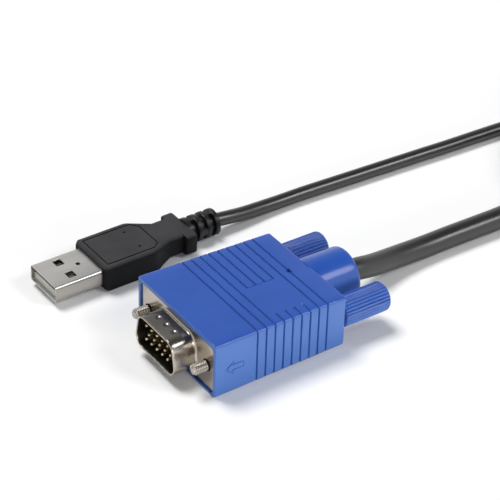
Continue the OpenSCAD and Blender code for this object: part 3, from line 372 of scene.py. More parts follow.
@dataclass
class Outline:
    """A rounded rectangle's outline with chosen points along its straight sides.

    A point is an array of two numbers, and the middle is at zero.
    """

    across: Sequence[float]
    upright: Sequence[float]
    corner_steps: int = 6

    def points(self, width: float, height: float, radius: float) -> np.ndarray:
        """Gives the outline's points at a full width, a full height and a corner radius."""
        return self._sweep(width, height, radius)[0]

    def normals(self) -> np.ndarray:
        """Gives the outward direction at each point."""
        return self._sweep(4, 4, 1)[1]

    def _sweep(self, width: float, height: float, radius: float) -> tuple[np.ndarray, np.ndarray]:
        """Walks once round the outline.

        Args:
            width: Full width.
            height: Full height.
            radius: Corner radius.

        Returns:
            The points, and the outward direction at each.
        """
        half_w, half_h = width / 2 - radius, height / 2 - radius
        points: list[Point] = []
        normals: list[Point] = []
        runs = (
            ([(-s * half_w, height / 2) for s in self.across], (0, 1), (-half_w, half_h), 90),
            ([(-width / 2, -s * half_h) for s in self.upright], (-1, 0), (-half_w, -half_h), 180),
            ([(s * half_w, -height / 2) for s in self.across], (0, -1), (half_w, -half_h), 270),
            ([(width / 2, s * half_h) for s in self.upright], (1, 0), (half_w, half_h), 0),
        )
        for run, normal, centre, start in runs:
            points += run + fillet(centre, radius, start, start + 90, self.corner_steps)
            normals += [normal] * len(run) + fillet((0, 0), 1, start, start + 90, self.corner_steps)
        return np.array(points, dtype=float), np.array(normals, dtype=float)


def even(steps: int) -> list[float]:
    """Gives points between the ends of a side, from -1 to 1, ends left out."""
    return [-1 + 2 * step / steps for step in range(1, steps)]


# Materials


def set_inputs(node: Node, values: dict[str, object]) -> Node:
    """Sets a node's inputs by name and gives it back."""
    for name, value in values.items():
        node.inputs[name].default_value = value
    return node


def add_math(tree: NodeTree, operation: str) -> Node:
    """Adds a node for one operation on numbers.

    Args:
        tree: The tree that it goes into.
        operation: The operation.

    Returns:
        The node.
    """
    node = tree.nodes.new("ShaderNodeMath")
    node.operation = operation
    return node


def add_mix(tree: NodeTree, kind: str) -> Node:
    """Adds a node that mixes two values of one kind.

    Args:
        tree: The tree that it goes into.
        kind: The kind of data.

    Returns:
        The node.
    """
    node = tree.nodes.new("ShaderNodeMix")
    node.data_type = kind
    return node


def add_ramp(tree: NodeTree, values: dict[str, object]) -> Node:
    """Adds a node that maps one range of numbers to another."""
    return set_inputs(tree.nodes.new("ShaderNodeMapRange"), values)


def wire(tree: NodeTree, *links: Link) -> None:
    """Makes the links: from a node's output to another's input."""
    for source, output, target, given in links:
        tree.links.new(source.outputs[output], target.inputs[given])


class NodeGroups:
    """Shader node groups that all finishes share."""

    def __init__(self) -> None:
        """Builds the groups once."""
        self.grain = self._grain()
        self.mottle = self._mottle()

    @staticmethod
    def _group(name: str, inputs: dict[str, object], outputs: dict[str, str]) -> NodeTree:
        """Starts a shader group with a vector input and named sockets.

        Args:
            name: The group's name.
            inputs: Defaults of the inputs for numbers and colours by name.
            outputs: Socket types by name.

        Returns:
            The group, with its input and output nodes.
        """
        tree = bpy.data.node_groups.new(name, "ShaderNodeTree")
        tree.interface.new_socket(name="Vector", in_out="INPUT", socket_type="NodeSocketVector")
        for label, default in inputs.items():
            kind = "NodeSocketColor" if isinstance(default, tuple) else "NodeSocketFloat"
            tree.interface.new_socket(name=label, in_out="INPUT", socket_type=kind).default_value = default
        for label, kind in outputs.items():
            tree.interface.new_socket(name=label, in_out="OUTPUT", socket_type=kind)
        tree.nodes.new("NodeGroupInput").name = "In"
        tree.nodes.new("NodeGroupOutput").name = "Out"
        return tree

    def _grain(self) -> NodeTree:
        """Builds the moulded grain: fine bumps over a slow waviness, and the roughness they make.

        Returns:
            The group.
        """
        tree = self._group(
            "Moulded grain",
            {"Grain scale": 1500.0, "Wave scale": 160.0, "Grain share": 0.6, "Roughness": 0.5,
             "Roughness spread": 0.1},
            {"Height": "NodeSocketFloat", "Roughness": "NodeSocketFloat"},
        )
        given, made = tree.nodes["In"], tree.nodes["Out"]
        fine = set_inputs(tree.nodes.new("ShaderNodeTexNoise"), {"Detail": 2.0})
        slow = set_inputs(tree.nodes.new("ShaderNodeTexNoise"), {"Detail": 3.0})
        blend = add_mix(tree, "FLOAT")
        spread, centre = add_math(tree, "MULTIPLY_ADD"), add_math(tree, "SUBTRACT")
        centre.inputs[1].default_value = 0.5
        wire(tree, (given, "Vector", fine, "Vector"), (given, "Grain scale", fine, "Scale"),
             (given, "Vector", slow, "Vector"), (given, "Wave scale", slow, "Scale"),
             (given, "Grain share", blend, "Factor"), (slow, "Fac", blend, "A"), (fine, "Fac", blend, "B"),
             (blend, "Result", made, "Height"), (slow, "Fac", centre, 0), (centre, 0, spread, 0),
             (given, "Roughness spread", spread, 1), (given, "Roughness", spread, 2),
             (spread, 0, made, "Roughness"))
        return tree

    def _mottle(self) -> NodeTree:
        """Builds the colour: two shades in soft random patches, with a third on the upright faces that is
        painted light and shade, making the sides lighter or darker than the top.

        Returns:
            The group.
        """
        tree = self._group(
            "Colour drift",
            {"Scale": 60.0, "Shade": (0.1, 0.1, 0.1, 1), "Patch": (0.2, 0.2, 0.2, 1),
             "Upright": (0.2, 0.2, 0.2, 1), "Upright share": 0.0},
            {"Color": "NodeSocketColor"},
        )
        given, made = tree.nodes["In"], tree.nodes["Out"]
        noise = set_inputs(tree.nodes.new("ShaderNodeTexNoise"), {"Detail": 4.0})
        ramp = add_ramp(tree, {"From Min": 0.35, "From Max": 0.65})
        # Painted side shading: faces whose normal is near level get the upright colour, standing in for how
        # light falls on the sides.
        wall = add_ramp(tree, {"From Min": 0.75, "From Max": 0.25})
        patches, upright = add_mix(tree, "RGBA"), add_mix(tree, "RGBA")
        geometry, split = tree.nodes.new("ShaderNodeNewGeometry"), tree.nodes.new("ShaderNodeSeparateXYZ")
        size, share = add_math(tree, "ABSOLUTE"), add_math(tree, "MULTIPLY")
        wire(tree, (given, "Vector", noise, "Vector"), (given, "Scale", noise, "Scale"),
             (noise, "Fac", ramp, "Value"), (ramp, "Result", patches, "Factor"),
             (given, "Shade", patches, "A"), (given, "Patch", patches, "B"),
             (geometry, "Normal", split, 0), (split, "Z", size, 0), (size, 0, wall, "Value"),
             (wall, "Result", share, 0), (given, "Upright share", share, 1), (share, 0, upright, "Factor"),
             (patches, "Result", upright, "A"), (given, "Upright", upright, "B"),
             (upright, "Result", made, "Color"))
        return tree


@dataclass(frozen=True)
class Finish:
    """One surface finish of the adapter.

    Scales are in patches per metre and bump depths in millimetres.
    """

    slot: Slot
    shade: Colour
    patch: Colour
    roughness: float = 0.5
    roughness_spread: float = 0.12
    metallic: float = 0.0
    specular: float = 0.5
    coat: float = 0.0
    coat_roughness: float = 0.2
    drift_scale: float = 60.0
    grain_scale: float = 1500.0
    wave_scale: float = 160.0
    grain_share: float = 0.6
    bump_depth: float = 0.02
    bump_strength: float = 0.5
    # upright is painted light and shade: a lighter or darker colour on the upright faces than on the top, and
    # its share sets how much.
    upright: Colour = (0.2, 0.2, 0.2, 1.0)
    upright_share: float = 0.0
    transmission: float = 0.0
    stretch: tuple[float, float, float] = (1.0, 1.0, 1.0)

    def build(self, groups: NodeGroups) -> bpy.types.Material:
        """Builds the material with its node groups.

        Args:
            groups: The shared groups.

        Returns:
            The material.
        """
        material = bpy.data.materials.new(self.slot.value)
        material.use_nodes = True
        tree = material.node_tree
        shader = set_inputs(tree.nodes["Principled BSDF"], {
            "Metallic": self.metallic, "Specular IOR Level": self.specular, "Coat Weight": self.coat,
            "Coat Roughness": self.coat_roughness, "Transmission Weight": self.transmission})
        place = tree.nodes.new("ShaderNodeTexCoord")
        mapping = set_inputs(tree.nodes.new("ShaderNodeMapping"), {"Scale": self.stretch})
        drift_and_painted_side_shading, grain = tree.nodes.new("ShaderNodeGroup"), tree.nodes.new("ShaderNodeGroup")
        drift_and_painted_side_shading.node_tree, grain.node_tree = groups.mottle, groups.grain
        set_inputs(drift_and_painted_side_shading, {"Scale": self.drift_scale, "Shade": self.shade, "Patch": self.patch,
                           "Upright": self.upright, "Upright share": self.upright_share})
        set_inputs(grain, {"Grain scale": self.grain_scale, "Wave scale": self.wave_scale,
                           "Grain share": self.grain_share, "Roughness": self.roughness,
                           "Roughness spread": self.roughness_spread})
        bump = set_inputs(tree.nodes.new("ShaderNodeBump"),
                          {"Strength": self.bump_strength, "Distance": self.bump_depth * MM})
        wire(tree, (place, "Object", mapping, "Vector"), (mapping, "Vector", drift_and_painted_side_shading, "Vector"),
             (mapping, "Vector", grain, "Vector"), (drift_and_painted_side_shading, "Color", shader, "Base Color"),
             (grain, "Roughness", shader, "Roughness"), (grain, "Height", bump, "Height"),
             (bump, "Normal", shader, "Normal"))
        return material


FINISHES = (
    # The hood's upright colour is painted light: its sides lighter than its top.
    Finish(Slot.HOOD, rgb(33, 77, 165), rgb(38, 83, 172), roughness=0.34, roughness_spread=0.16,
           specular=0.25, coat=0.32, coat_roughness=0.14, drift_scale=70, grain_scale=1300, wave_scale=420,
           grain_share=0.5, bump_depth=0.05, bump_strength=0.45, upright=rgb(80, 120, 192),
           upright_share=0.9),
    # The shell's upright colour is painted light and reflection: the flange face and the shell's sides
    # lighter than its dark top.
    Finish(Slot.SHELL, rgb(120, 117, 112), rgb(134, 130, 124), metallic=1.0, roughness=0.24,
           roughness_spread=0.1, drift_scale=90, grain_scale=900, bump_depth=0.006,
           upright=rgb(186, 178, 167), upright_share=1.0),
    Finish(Slot.INSULATOR, rgb(12, 12, 13), rgb(17, 17, 18), specular=0.2, bump_depth=0.01),
    Finish(Slot.CONTACT, rgb(176, 164, 132), rgb(188, 176, 146), metallic=1.0, roughness=0.25,
           bump_depth=0.004),
    Finish(Slot.WIRE, rgb(150, 30, 26), rgb(170, 40, 30), roughness=0.4, bump_depth=0.01),
    Finish(Slot.INNER, rgb(226, 222, 208), rgb(218, 214, 200)),
    Finish(Slot.CRIMP, rgb(196, 164, 96), rgb(180, 148, 82), metallic=1.0, roughness=0.35, bump_depth=0.01),
    Finish(Slot.SCREW, rgb(178, 172, 164), rgb(164, 158, 150), metallic=1.0, roughness=0.28,
           bump_depth=0.006),
    Finish(Slot.SPRING, rgb(70, 70, 74), rgb(54, 54, 58), metallic=1.0, roughness=0.4, bump_depth=0.008),
    # The USB shell's upright colour is painted shade: its sides darker than its top.
    Finish(Slot.USB_STEEL, rgb(206, 205, 202), rgb(196, 194, 190), metallic=1.0, roughness=0.3,
           roughness_spread=0.14, drift_scale=140, grain_scale=700, bump_depth=0.008,
           upright=rgb(158, 152, 145), upright_share=0.8, stretch=(0.25, 1, 1)),
    Finish(Slot.TONGUE, rgb(226, 226, 220), rgb(216, 216, 210), roughness=0.45, bump_depth=0.01),
    # The grip's upright colour is painted shade: its sides darker than its top.
    Finish(Slot.GRIP, rgb(50, 50, 52), rgb(58, 58, 60), roughness=0.6, specular=0.15, drift_scale=120,
           grain_scale=1900, wave_scale=500, grain_share=0.75, bump_depth=0.09, bump_strength=0.7,
           upright=rgb(12, 12, 12), upright_share=0.9),
    Finish(Slot.RELIEF, rgb(13, 13, 14), rgb(18, 18, 19), roughness=0.38, specular=0.35, bump_depth=0.03),
    Finish(Slot.CORD, rgb(17, 17, 18), rgb(23, 23, 24), roughness=0.3, roughness_spread=0.1, specular=0.8,
           drift_scale=40, grain_scale=700, wave_scale=60, grain_share=0.3, bump_depth=0.05,
           bump_strength=0.4),
    Finish(Slot.CASE, rgb(28, 28, 31), rgb(36, 36, 39), roughness=0.55, specular=0.3, drift_scale=40,
           wave_scale=200, grain_share=0.7, bump_depth=0.06),
    Finish(Slot.FOOT, rgb(44, 44, 46), rgb(54, 54, 56), roughness=0.85, bump_depth=0.04),
    Finish(Slot.BOARD, rgb(18, 92, 52), rgb(24, 104, 60), roughness=0.3, coat=0.4, drift_scale=200),
    Finish(Slot.CHIP, rgb(30, 30, 32), rgb(38, 38, 40)),
    Finish(Slot.CAN, rgb(200, 200, 204), rgb(188, 188, 192), metallic=1.0, roughness=0.28, bump_depth=0.006),
    Finish(Slot.FERRITE, rgb(56, 56, 60), rgb(66, 66, 70), roughness=0.6, bump_depth=0.03),
    Finish(Slot.LENS, rgb(110, 214, 120), rgb(120, 224, 130), roughness=0.25, coat=0.5, bump_depth=0.004),
    Finish(Slot.PIPE, rgb(222, 226, 228), rgb(214, 218, 220), roughness=0.18, transmission=0.5,
           bump_depth=0.004),
)


class Repeater:
    """Geometry Nodes that repeat one part along a line, with a turn about X at each step."""

    def __init__(self) -> None:
        """Builds the tree once."""
        tree = bpy.data.node_groups.new("Repeat in line", "GeometryNodeTree")
        for name, kind in (("Part", "Object"), ("Count", "Int"), ("Start", "Vector"), ("Step", "Vector"),
                           ("Turn", "Float"), ("Material", "Material")):
            tree.interface.new_socket(name=name, in_out="INPUT", socket_type=f"NodeSocket{kind}")
        tree.interface.new_socket(name="Geometry", in_out="OUTPUT", socket_type="NodeSocketGeometry")
        given, made = tree.nodes.new("NodeGroupInput"), tree.nodes.new("NodeGroupOutput")
        line, part, number, place, real, dress = (tree.nodes.new(f"GeometryNode{kind}") for kind in (
            "MeshLine", "ObjectInfo", "InputIndex", "InstanceOnPoints", "RealizeInstances", "SetMaterial"))
        line.mode = "OFFSET"
        angle, turn = add_math(tree, "MULTIPLY"), tree.nodes.new("ShaderNodeCombineXYZ")
        wire(tree, (given, "Count", line, "Count"), (given, "Start", line, "Start Location"),
             (given, "Step", line, "Offset"), (given, "Part", part, "Object"), (number, 0, angle, 0),
             (given, "Turn", angle, 1), (angle, 0, turn, "X"), (line, "Mesh", place, "Points"),
             (part, "Geometry", place, "Instance"), (turn, "Vector", place, "Rotation"),
             (place, "Instances", real, "Geometry"), (real, "Geometry", dress, "Geometry"),
             (given, "Material", dress, "Material"), (dress, "Geometry", made, "Geometry"))
        self.tree = tree

    def row(self, name: str, part: Piece, count: int, start: Point, step: Point, material: bpy.types.Material,
            turn: float) -> Piece:
        """Repeats a part and gives the result as a plain mesh.

        Args:
            name: The new piece's name.
            part: The part that repeats, modelled round its own origin.
            count: How many there are.
            start: Place of the first, in millimetres.
            step: From one to the next, in millimetres.
            material: The material of the result.
            turn: Turn about X at each step, in degrees.

        Returns:
            The new object.
        """
        holder = add_object(name, bpy.data.meshes.new(name))
        modifier = holder.modifiers.new("row", "NODES")
        modifier.node_group = self.tree
        values = {"Part": part, "Count": count, "Start": [value * MM for value in start],
                  "Step": [value * MM for value in step], "Turn": math.radians(turn), "Material": material}
        for item in self.tree.interface.items_tree:
            if item.in_out == "INPUT":
                modifier[item.identifier] = values[item.name]
        apply_modifiers(holder)
        return holder


class Workshop:
    """What every sub-assembly needs: the frame, the materials and the repeater."""

    def __init__(self, frame: dict) -> None:
        """Builds the materials and the repeater.
        """
        self.frame = frame
        groups = NodeGroups()
        self.materials = {finish.slot: finish.build(groups) for finish in FINISHES}
        self.repeater = Repeater()

    def dress_nodes(self) -> None:
        """Gives each carried-over node the finish that the record names for it."""
        for row in self.frame["record"]["subparts"]:
            node = self.frame["nodes"][row["node"]]
            node.data.materials.clear()
            node.data.materials.append(self.materials[Slot(row["material_slot"])])

    def rows(self, name: str, part: Piece, slot: Slot, count: int, starts: Sequence[Point], step: Point,
             turn: float = 0.0) -> Piece:
        """Repeats a part in several rows, joins them and deletes the part.

        Args:
            name: The new piece's name.
            part: The part that repeats, modelled round its own origin.
            slot: The finish of the result.
            count: How many there are in a row.
            starts: Place of each row's first, in millimetres.
            step: From one to the next, in millimetres.
            turn: Turn about X at each step, in degrees.

        Returns:
            The joined object.
        """
        made = [self.repeater.row(f"{name}_{number}", part, count, start, step, self.materials[slot], turn)
                for number, start in enumerate(starts)]
        remove(part)
        return join(name, made)

    def place(self, piece: Piece, slot: Slot, body: str = ADAPTER, nodes: Sequence[str] = (),
              angle: float = SHARP_ANGLE) -> None:
        """Finishes a piece and fixes it to its body.

        Args:
            piece: The piece.
            slot: Its finish.
            body: The body it rides on.
            nodes: The CAD nodes it stands for.
            angle: Edges steeper than this stay sharp, in degrees.
        """
        finish_mesh(piece, self.materials[slot], angle)
        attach(piece, body)
        if nodes:
            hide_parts(*nodes)
        log.info("%s: %d faces on %s", piece.name, len(piece.data.polygons), body)


# The video plug


@dataclass
class VideoPlug:
    """The blue hood with its steel shell, pins and thumbscrews.

    The cavity has its reach behind the hood's front, half its width and half its height. The ferrule's room
    has its start and end along X and its radius. The notch has its length, width and depth.
    """

    shop: Workshop
    length: float = 37.2
    front_w: float = 33.1
    rear_w: float = 32.0
    front_h: float = 14.8
    rear_h: float = 14.0
    edge_r: float = 0.8
    rim_r: float = 0.3
    rear_r: float = 0.6
    axis_z: float = 7.1
    groove_start: float = 11.7
    groove_pitch: float = 2.5
    groove_count: int = 9
    groove_half_w: float = 0.28
    groove_wall: float = 0.1
    groove_depth: float = 0.5
    pad_far: float = -0.99
    pad_near: float = -12.58
    pad_first: int = 3
    pad_last: int = 6
    pad_line_half_w: float = 0.15
    pad_line_depth: float = 0.22
    flange_w: float = 30.8
    flange_h: float = 12.5
    flange_recess: float = 0.4
    sheet: float = 0.5
    collar_l: float = 11.8
    collar_r: float = 7.1
    collar_end_r: float = 6.9
    cord_d: float = 5.8
    screw_y: float = 12.495
    pin_pitch: float = 2.29
    pin_row: float = 1.98
    shank_r: float = 1.15
    screw_hole_r: float = 1.55
    clip_front_x: float = -10.6
    clip_back_x: float = -5.8
    clip_r: float = 2.5
    cavity: tuple[float, float, float] = (29.1, 9.4, 5.5)
    ferrule_room: tuple[float, float, float] = (10.0, 16.5, 4.4)
    notch: tuple[float, float, float] = (1.1, 1.7, 0.9)
    d_w: float = 16.92
    d_h: float = 8.36
    d_slant: float = 10.0
    d_corner_r: float = 2.4
    d_reach: float = 6.2
    dimple_back: float = 3.2
    dimple_pitch: float = 3.3
    dimple_depth: float = 0.2
    dimple_r: float = 1.0
    pin_r: float = 0.38
    pin_tip_x: float = -23.6
    pin_shoulder_x: float = -13.2
    cup_r: float = 0.55
    cup_end_x: float = -10.2
    outline: Outline = field(init=False)

    def __post_init__(self) -> None:
        """Works out the places along X and the hood's outline."""
        self.front_x = -self.length / 2
        self.rear_x = self.length / 2
        self.flange_x = self.front_x + self.flange_recess
        self.flange_back_x = self.flange_x + 2 * self.sheet
        half = self.front_w / 2 - self.edge_r
        edges = [self.pad_far, self.pad_near]
        fine = [edge + shift for edge in edges for shift in (-0.32, -0.18, -0.08, 0.08, 0.18, 0.32)]
        under = [side * (abs(self.pad_near) + shift) for side in (-1, 1) for shift in (-0.1, 0.1)]
        run = sorted(set([-s for s in fine] + under + [half * share for share in even(14)]))
        self.outline = Outline([y / half for y in run], even(8), 6)

    def width(self, x: float) -> float:
        """Gives the hood's width at x."""
        return self.front_w + (self.rear_w - self.front_w) * (x - self.front_x) / self.length

    def height(self, x: float) -> float:
        """Gives the hood's height at x."""
        return self.front_h + (self.rear_h - self.front_h) * (x - self.front_x) / self.length

    def _screw_centre(self, side: Side) -> Point:
        """Gives the [y, z] of a thumbscrew's line."""
        return side.value * self.screw_y, self.axis_z

    def groove_x(self, number: int) -> float:
        """Gives the place of a grip groove along X."""
        return self.front_x + self.groove_start + number * self.groove_pitch

    def groove_inset(self, x: float, outline: np.ndarray, normals: np.ndarray) -> np.ndarray:
        """Works out how deep the grooves and the pad's edge line are at each point of the outline at x.

        Args:
            x: Place along the hood.
            outline: The outline's points there.
            normals: Their outward directions.

        Returns:
            The inset of each point.
        """
        inset = np.zeros(len(outline))
        across, upwards, level = outline[:, 0], normals[:, 1], 0.99
        on_top = (upwards > level) & (across < self.pad_far) & (across > self.pad_near)
        below = (upwards < -level) & (np.abs(across) < abs(self.pad_near))
        for number in range(self.groove_count):
            offset = abs(x - self.groove_x(number))
            if offset < self.groove_half_w:
                depth = self.groove_depth * min(1.0, (self.groove_half_w - offset) / self.groove_wall)
                masked = below | on_top if self.pad_first <= number <= self.pad_last else below
                inset = np.maximum(inset, np.where(masked, 0.0, depth))
        if self.groove_x(self.pad_first) - 0.1 < x < self.groove_x(self.pad_last) + 0.1:
            on_line = (upwards > level) & (np.abs(across - self.pad_far) < self.pad_line_half_w)
            inset = np.maximum(inset, np.where(on_line, self.pad_line_depth, 0.0))
        return inset

    def hood_ring(self, x: float, pinch: float) -> np.ndarray:
        """Makes one ring of the hood.

        Args:
            x: Place along the hood.
            pinch: How far the whole outline is drawn in.

        Returns:
            The ring's points.
        """
        normals = self.outline.normals()
        outline = self.outline.points(self.width(x), self.height(x), self.edge_r)
        drawn = outline - normals * (self.groove_inset(x, outline, normals) + pinch)[:, None]
        return at_x(drawn, x, self.height(x) / 2)

    def hood_stations(self) -> list[float]:
        """Lists the places along X where the hood needs a ring.

        Returns:
            The places, in order.
        """
        edge, floor = self.groove_half_w, self.groove_half_w - self.groove_wall
        offsets = (-edge - 0.06, -edge, -floor, 0.0, floor, edge, edge + 0.06)
        places = [self.groove_x(number) + offset for number in range(self.groove_count) for offset in offsets]
        start, end = self.front_x + self.rim_r + 0.05, self.groove_x(0) - 0.6
        places += [start + (end - start) * share / 8 for share in range(9)]
        return sorted(places + [self.rear_x - self.rear_r])

    def build_hood(self) -> None:
        """Makes the hood, with its grooves, recess, bores and marks."""
        recess = self.outline.points(self.flange_w + 0.3, self.flange_h + 0.3, 1.0)
        lip = self.outline.points(self.flange_w + 0.6, self.flange_h + 0.6, 1.15)
        rings = [at_x(outline, x, self.axis_z) for outline, x in (
            (recess, self.flange_back_x), (recess, self.front_x + 0.12), (lip, self.front_x))]
        rings += [self.hood_ring(self.front_x + self.rim_r * near, self.rim_r * far)
                  for near, far in rounding((0, 30, 60, 90))]
        rings += [self.hood_ring(x, 0.0) for x in self.hood_stations()]
        rings += [self.hood_ring(self.rear_x - self.rear_r * far, self.rear_r * near)
                  for near, far in rounding((18, 36, 54, 72, 90))]
        hood = skin("hood_moulding", rings)
        cut(hood, self._hood_cutters())
        self.shop.place(hood, Slot.HOOD, nodes=["vga_hood"])

    def _hood_cutters(self) -> list[Piece]:
        """Makes the shapes cut from the hood: screw bores, cavity, cord bore, notch and arrow.

        Returns:
            The cutters.
        """
        front, back = self.flange_back_x - 1, self.rear_x + 1
        shank, cord = self.shank_r + 0.08, self.cord_d / 2 + CORD_GAP
        bore = [(front, 0.0), (front, self.screw_hole_r), (self.clip_front_x, self.screw_hole_r),
                (self.clip_front_x, self.clip_r), (self.clip_back_x, self.clip_r), (self.clip_back_x, shank),
                (back, shank), (back, 0.0)]
        cutters = [lathe(f"bore_{side.word}", bore, self._screw_centre(side), 48) for side in Side]
        reach, half_w, half_h = self.cavity
        cutters.append(block("cavity", (self.flange_back_x - 0.5, -half_w, self.axis_z - half_h),
                             (self.front_x + reach, half_w, self.axis_z + half_h)))
        start, end, wide = self.ferrule_room
        past = self.rear_x + self.collar_l
        hole = [(start, 0), (start, wide), (end, wide), (end, cord), (past, cord), (past, 0)]
        cutters.append(lathe("cord_bore", hole, (0, self.axis_z), 48))
        x = self.groove_x(self.groove_count - 1)
        top = self.height(x)
        length, width, depth = self.notch
        cutters.append(block("notch", (x - length / 2, -width / 2, top - depth),
                             (x + length / 2, width / 2, top + 1)))
        return [*cutters, self._arrow()]

    def _arrow(self) -> Piece:
        """Makes the cutter of the outline arrow on the near side.

        Returns:
            The cutter.
        """
        start, length, head, line = self.front_x + 2.8, 5.2, 2.34, 0.4
        tall, shaft, depth = 1.9, 0.84, 0.16
        outer = [(0, 0), (head, tall), (head, shaft), (length, shaft)]
        inner = [(line * 1.6, 0), (head - line, tall - 2 * line), (head - line, shaft - line / 2),
                 (length - line, shaft - line / 2)]
        outer, inner = (half + [(x, -z) for x, z in reversed(half[1:])] for half in (outer, inner))
        arrow = frame_prism("arrow", outer, inner, 0, 1.5)
        side = -self.width(start + length / 2) / 2 + depth
        stand = Matrix.Rotation(math.radians(90), 4, "X")
        arrow.data.transform(Matrix.Translation(Vector((start, side, self.axis_z)) * MM) @ stand)
        return arrow

    def build_collar(self) -> None:
        """Makes the round collar where the cord leaves."""
        bore, end, edge = self.cord_d / 2 + CORD_GAP, self.rear_x + self.collar_l, 1.15
        root = self.rear_x - 0.5
        profile = [(root, bore), (root, self.collar_r), (self.rear_x, self.collar_r)]
        taper = self.collar_end_r - self.collar_r
        profile += [(self.rear_x + self.collar_l * share / 8, self.collar_r + taper * share / 8)
                    for share in range(1, 7)]
        profile += [(end - edge * far, self.collar_end_r - edge * near)
                    for near, far in rounding(range(0, 91, 15))]
        profile += [(end, bore + 0.35), (end - 0.25, bore)]
        self.shop.place(lathe("hood_collar", profile, (0, self.axis_z), 96, bore=True), Slot.HOOD)

    def d_outline(self, grow: float) -> np.ndarray:
        """Gives the D outline, wide side down.

        Args:
            grow: How far it is grown from the shell's inside.

        Returns:
            The points.
        """
        corner_steps, side_steps = 7, 48
        turn = self.d_slant
        slant, radius = math.radians(turn), self.d_corner_r + grow
        half_h, half_w = self.d_h / 2 + grow, self.d_w / 2 + grow

        def centre(up: int) -> tuple[float, float]:
            """Gives the centre of the upper or the lower corner."""
            z = up * (half_h - radius)
            return half_w - (z + half_h) * math.tan(slant) - radius / math.cos(slant), z

        (top, high), (low, deep) = centre(1), centre(-1)
        points = [(-low + 2 * low * step / side_steps, -half_h) for step in range(side_steps)]
        points += fillet((low, deep), radius, -90, turn, corner_steps)
        points += fillet((top, high), radius, turn, 90, corner_steps)
        points += [(top - 2 * top * step / side_steps, half_h) for step in range(1, side_steps)]
        points += fillet((-top, high), radius, 90, 180 - turn, corner_steps)
        points += fillet((-low, deep), radius, 180 - turn, 270, corner_steps)[:-1]
        return np.array(points)

    def build_shell(self) -> None:
        """Makes the steel flange and the D-shaped shell with its dimples."""
        lip_x, lip_r, bend, spacing = self.flange_x - self.d_reach, self.sheet / 2, 0.6, 0.2
        profile = [(self.flange_x + self.sheet, self.sheet + 0.3), (self.flange_x + 0.05, self.sheet + bend)]
        profile += [(self.flange_x - bend * near, self.sheet + bend * far)
                    for near, far in rounding(range(15, 91, 15))]
        profile += [(self.flange_x - 0.8 - spacing * step, self.sheet) for step in range(24)]
        profile += [(lip_x + lip_r * far, lip_r * (2 - near)) for near, far in rounding(range(0, 181, 30))]
        profile += [(lip_x + 0.6 + spacing * step, 0.0) for step in range(26)]
        profile.append((self.flange_x + self.sheet, 0.0))
        rings = [self._dimpled(at_x(self.d_outline(grow), x, self.axis_z), lip_x) for x, grow in profile]
        shell = join("plug_shell", [skin("shell_tube", rings, closed=True), self._flange_plate()])
        self.shop.place(shell, Slot.SHELL, nodes=["vga_front_shell"])

    def _dimpled(self, ring: np.ndarray, lip_x: float) -> np.ndarray:
        """Presses the grounding dimples into a ring of the shell.

        Args:
            ring: The ring's points.
            lip_x: Place of the shell's mouth.

        Returns:
            The pressed ring.
        """
        pressed = ring.copy()
        behind = ring[:, 0] - (lip_x + self.dimple_back)
        for number in (-1, 0, 1):
            for up in (-1, 1):
                gap = np.hypot(behind, ring[:, 1] - number * self.dimple_pitch)
                facing = (ring[:, 2] - self.axis_z) * up > self.d_h / 2 - 0.05
                share = (1 + np.cos(math.pi * np.minimum(gap / self.dimple_r, 1.0))) / 2
                pressed[:, 2] -= up * np.where(facing & (gap < self.dimple_r), self.dimple_depth * share, 0)
        return pressed

    def _flange_plate(self) -> Piece:
        """Makes the flange with its screw holes.

        Returns:
            The plate.
        """
        outline = Outline(even(12), even(6))
        profile = [(self.sheet, 0), (0.12, 0), (0.03, 0.05), (0, 0.15)]
        plate = skin("flange_plate", [
            at_x(outline.points(self.flange_w - 2 * inset, self.flange_h - 2 * inset, 0.8), self.flange_x + x,
                 self.axis_z) for x, inset in profile])
        ends = (self.flange_x - 1, self.flange_x + 2)
        holes = [rod(f"hole_{side.word}", ends, self.screw_hole_r, self._screw_centre(side)) for side in Side]
        cut(plate, holes + [skin("opening", [at_x(self.d_outline(0.2), x, self.axis_z) for x in ends])])
        return plate

    def build_pins(self) -> None:
        """Makes the contact pins, row by row."""
        shoulder, end = self.pin_shoulder_x - self.pin_tip_x, self.cup_end_x - self.pin_tip_x
        profile = [(self.pin_r * near, self.pin_r * (1 - far)) for near, far in rounding((20, 40, 60, 90))]
        profile += [(shoulder, self.pin_r), (shoulder, self.cup_r), (end, self.cup_r), (end, 0)]
        pin = lathe("pin", [(0.0, 0.0), *profile], (0, 0), 20)
        starts = [(self.pin_tip_x, (2 + shift) * self.pin_pitch, self.axis_z + row * self.pin_row)
                  for row, shift in ((1, 0.25), (0, -0.25), (-1, 0.25))]
        pins = self.shop.rows("contact_pins", pin, Slot.CONTACT, 5, starts, (0, -self.pin_pitch, 0))
        self.shop.place(pins, Slot.CONTACT, nodes=["vga_pins"])

    def build(self) -> None:
        """Makes the whole plug."""
        self.build_hood()
        self.build_collar()
        self.build_shell()
        self.build_pins()
        for side in Side:
            Thumbscrew(self.shop, side, self._screw_centre(side), self.rear_x + 0.6).build()


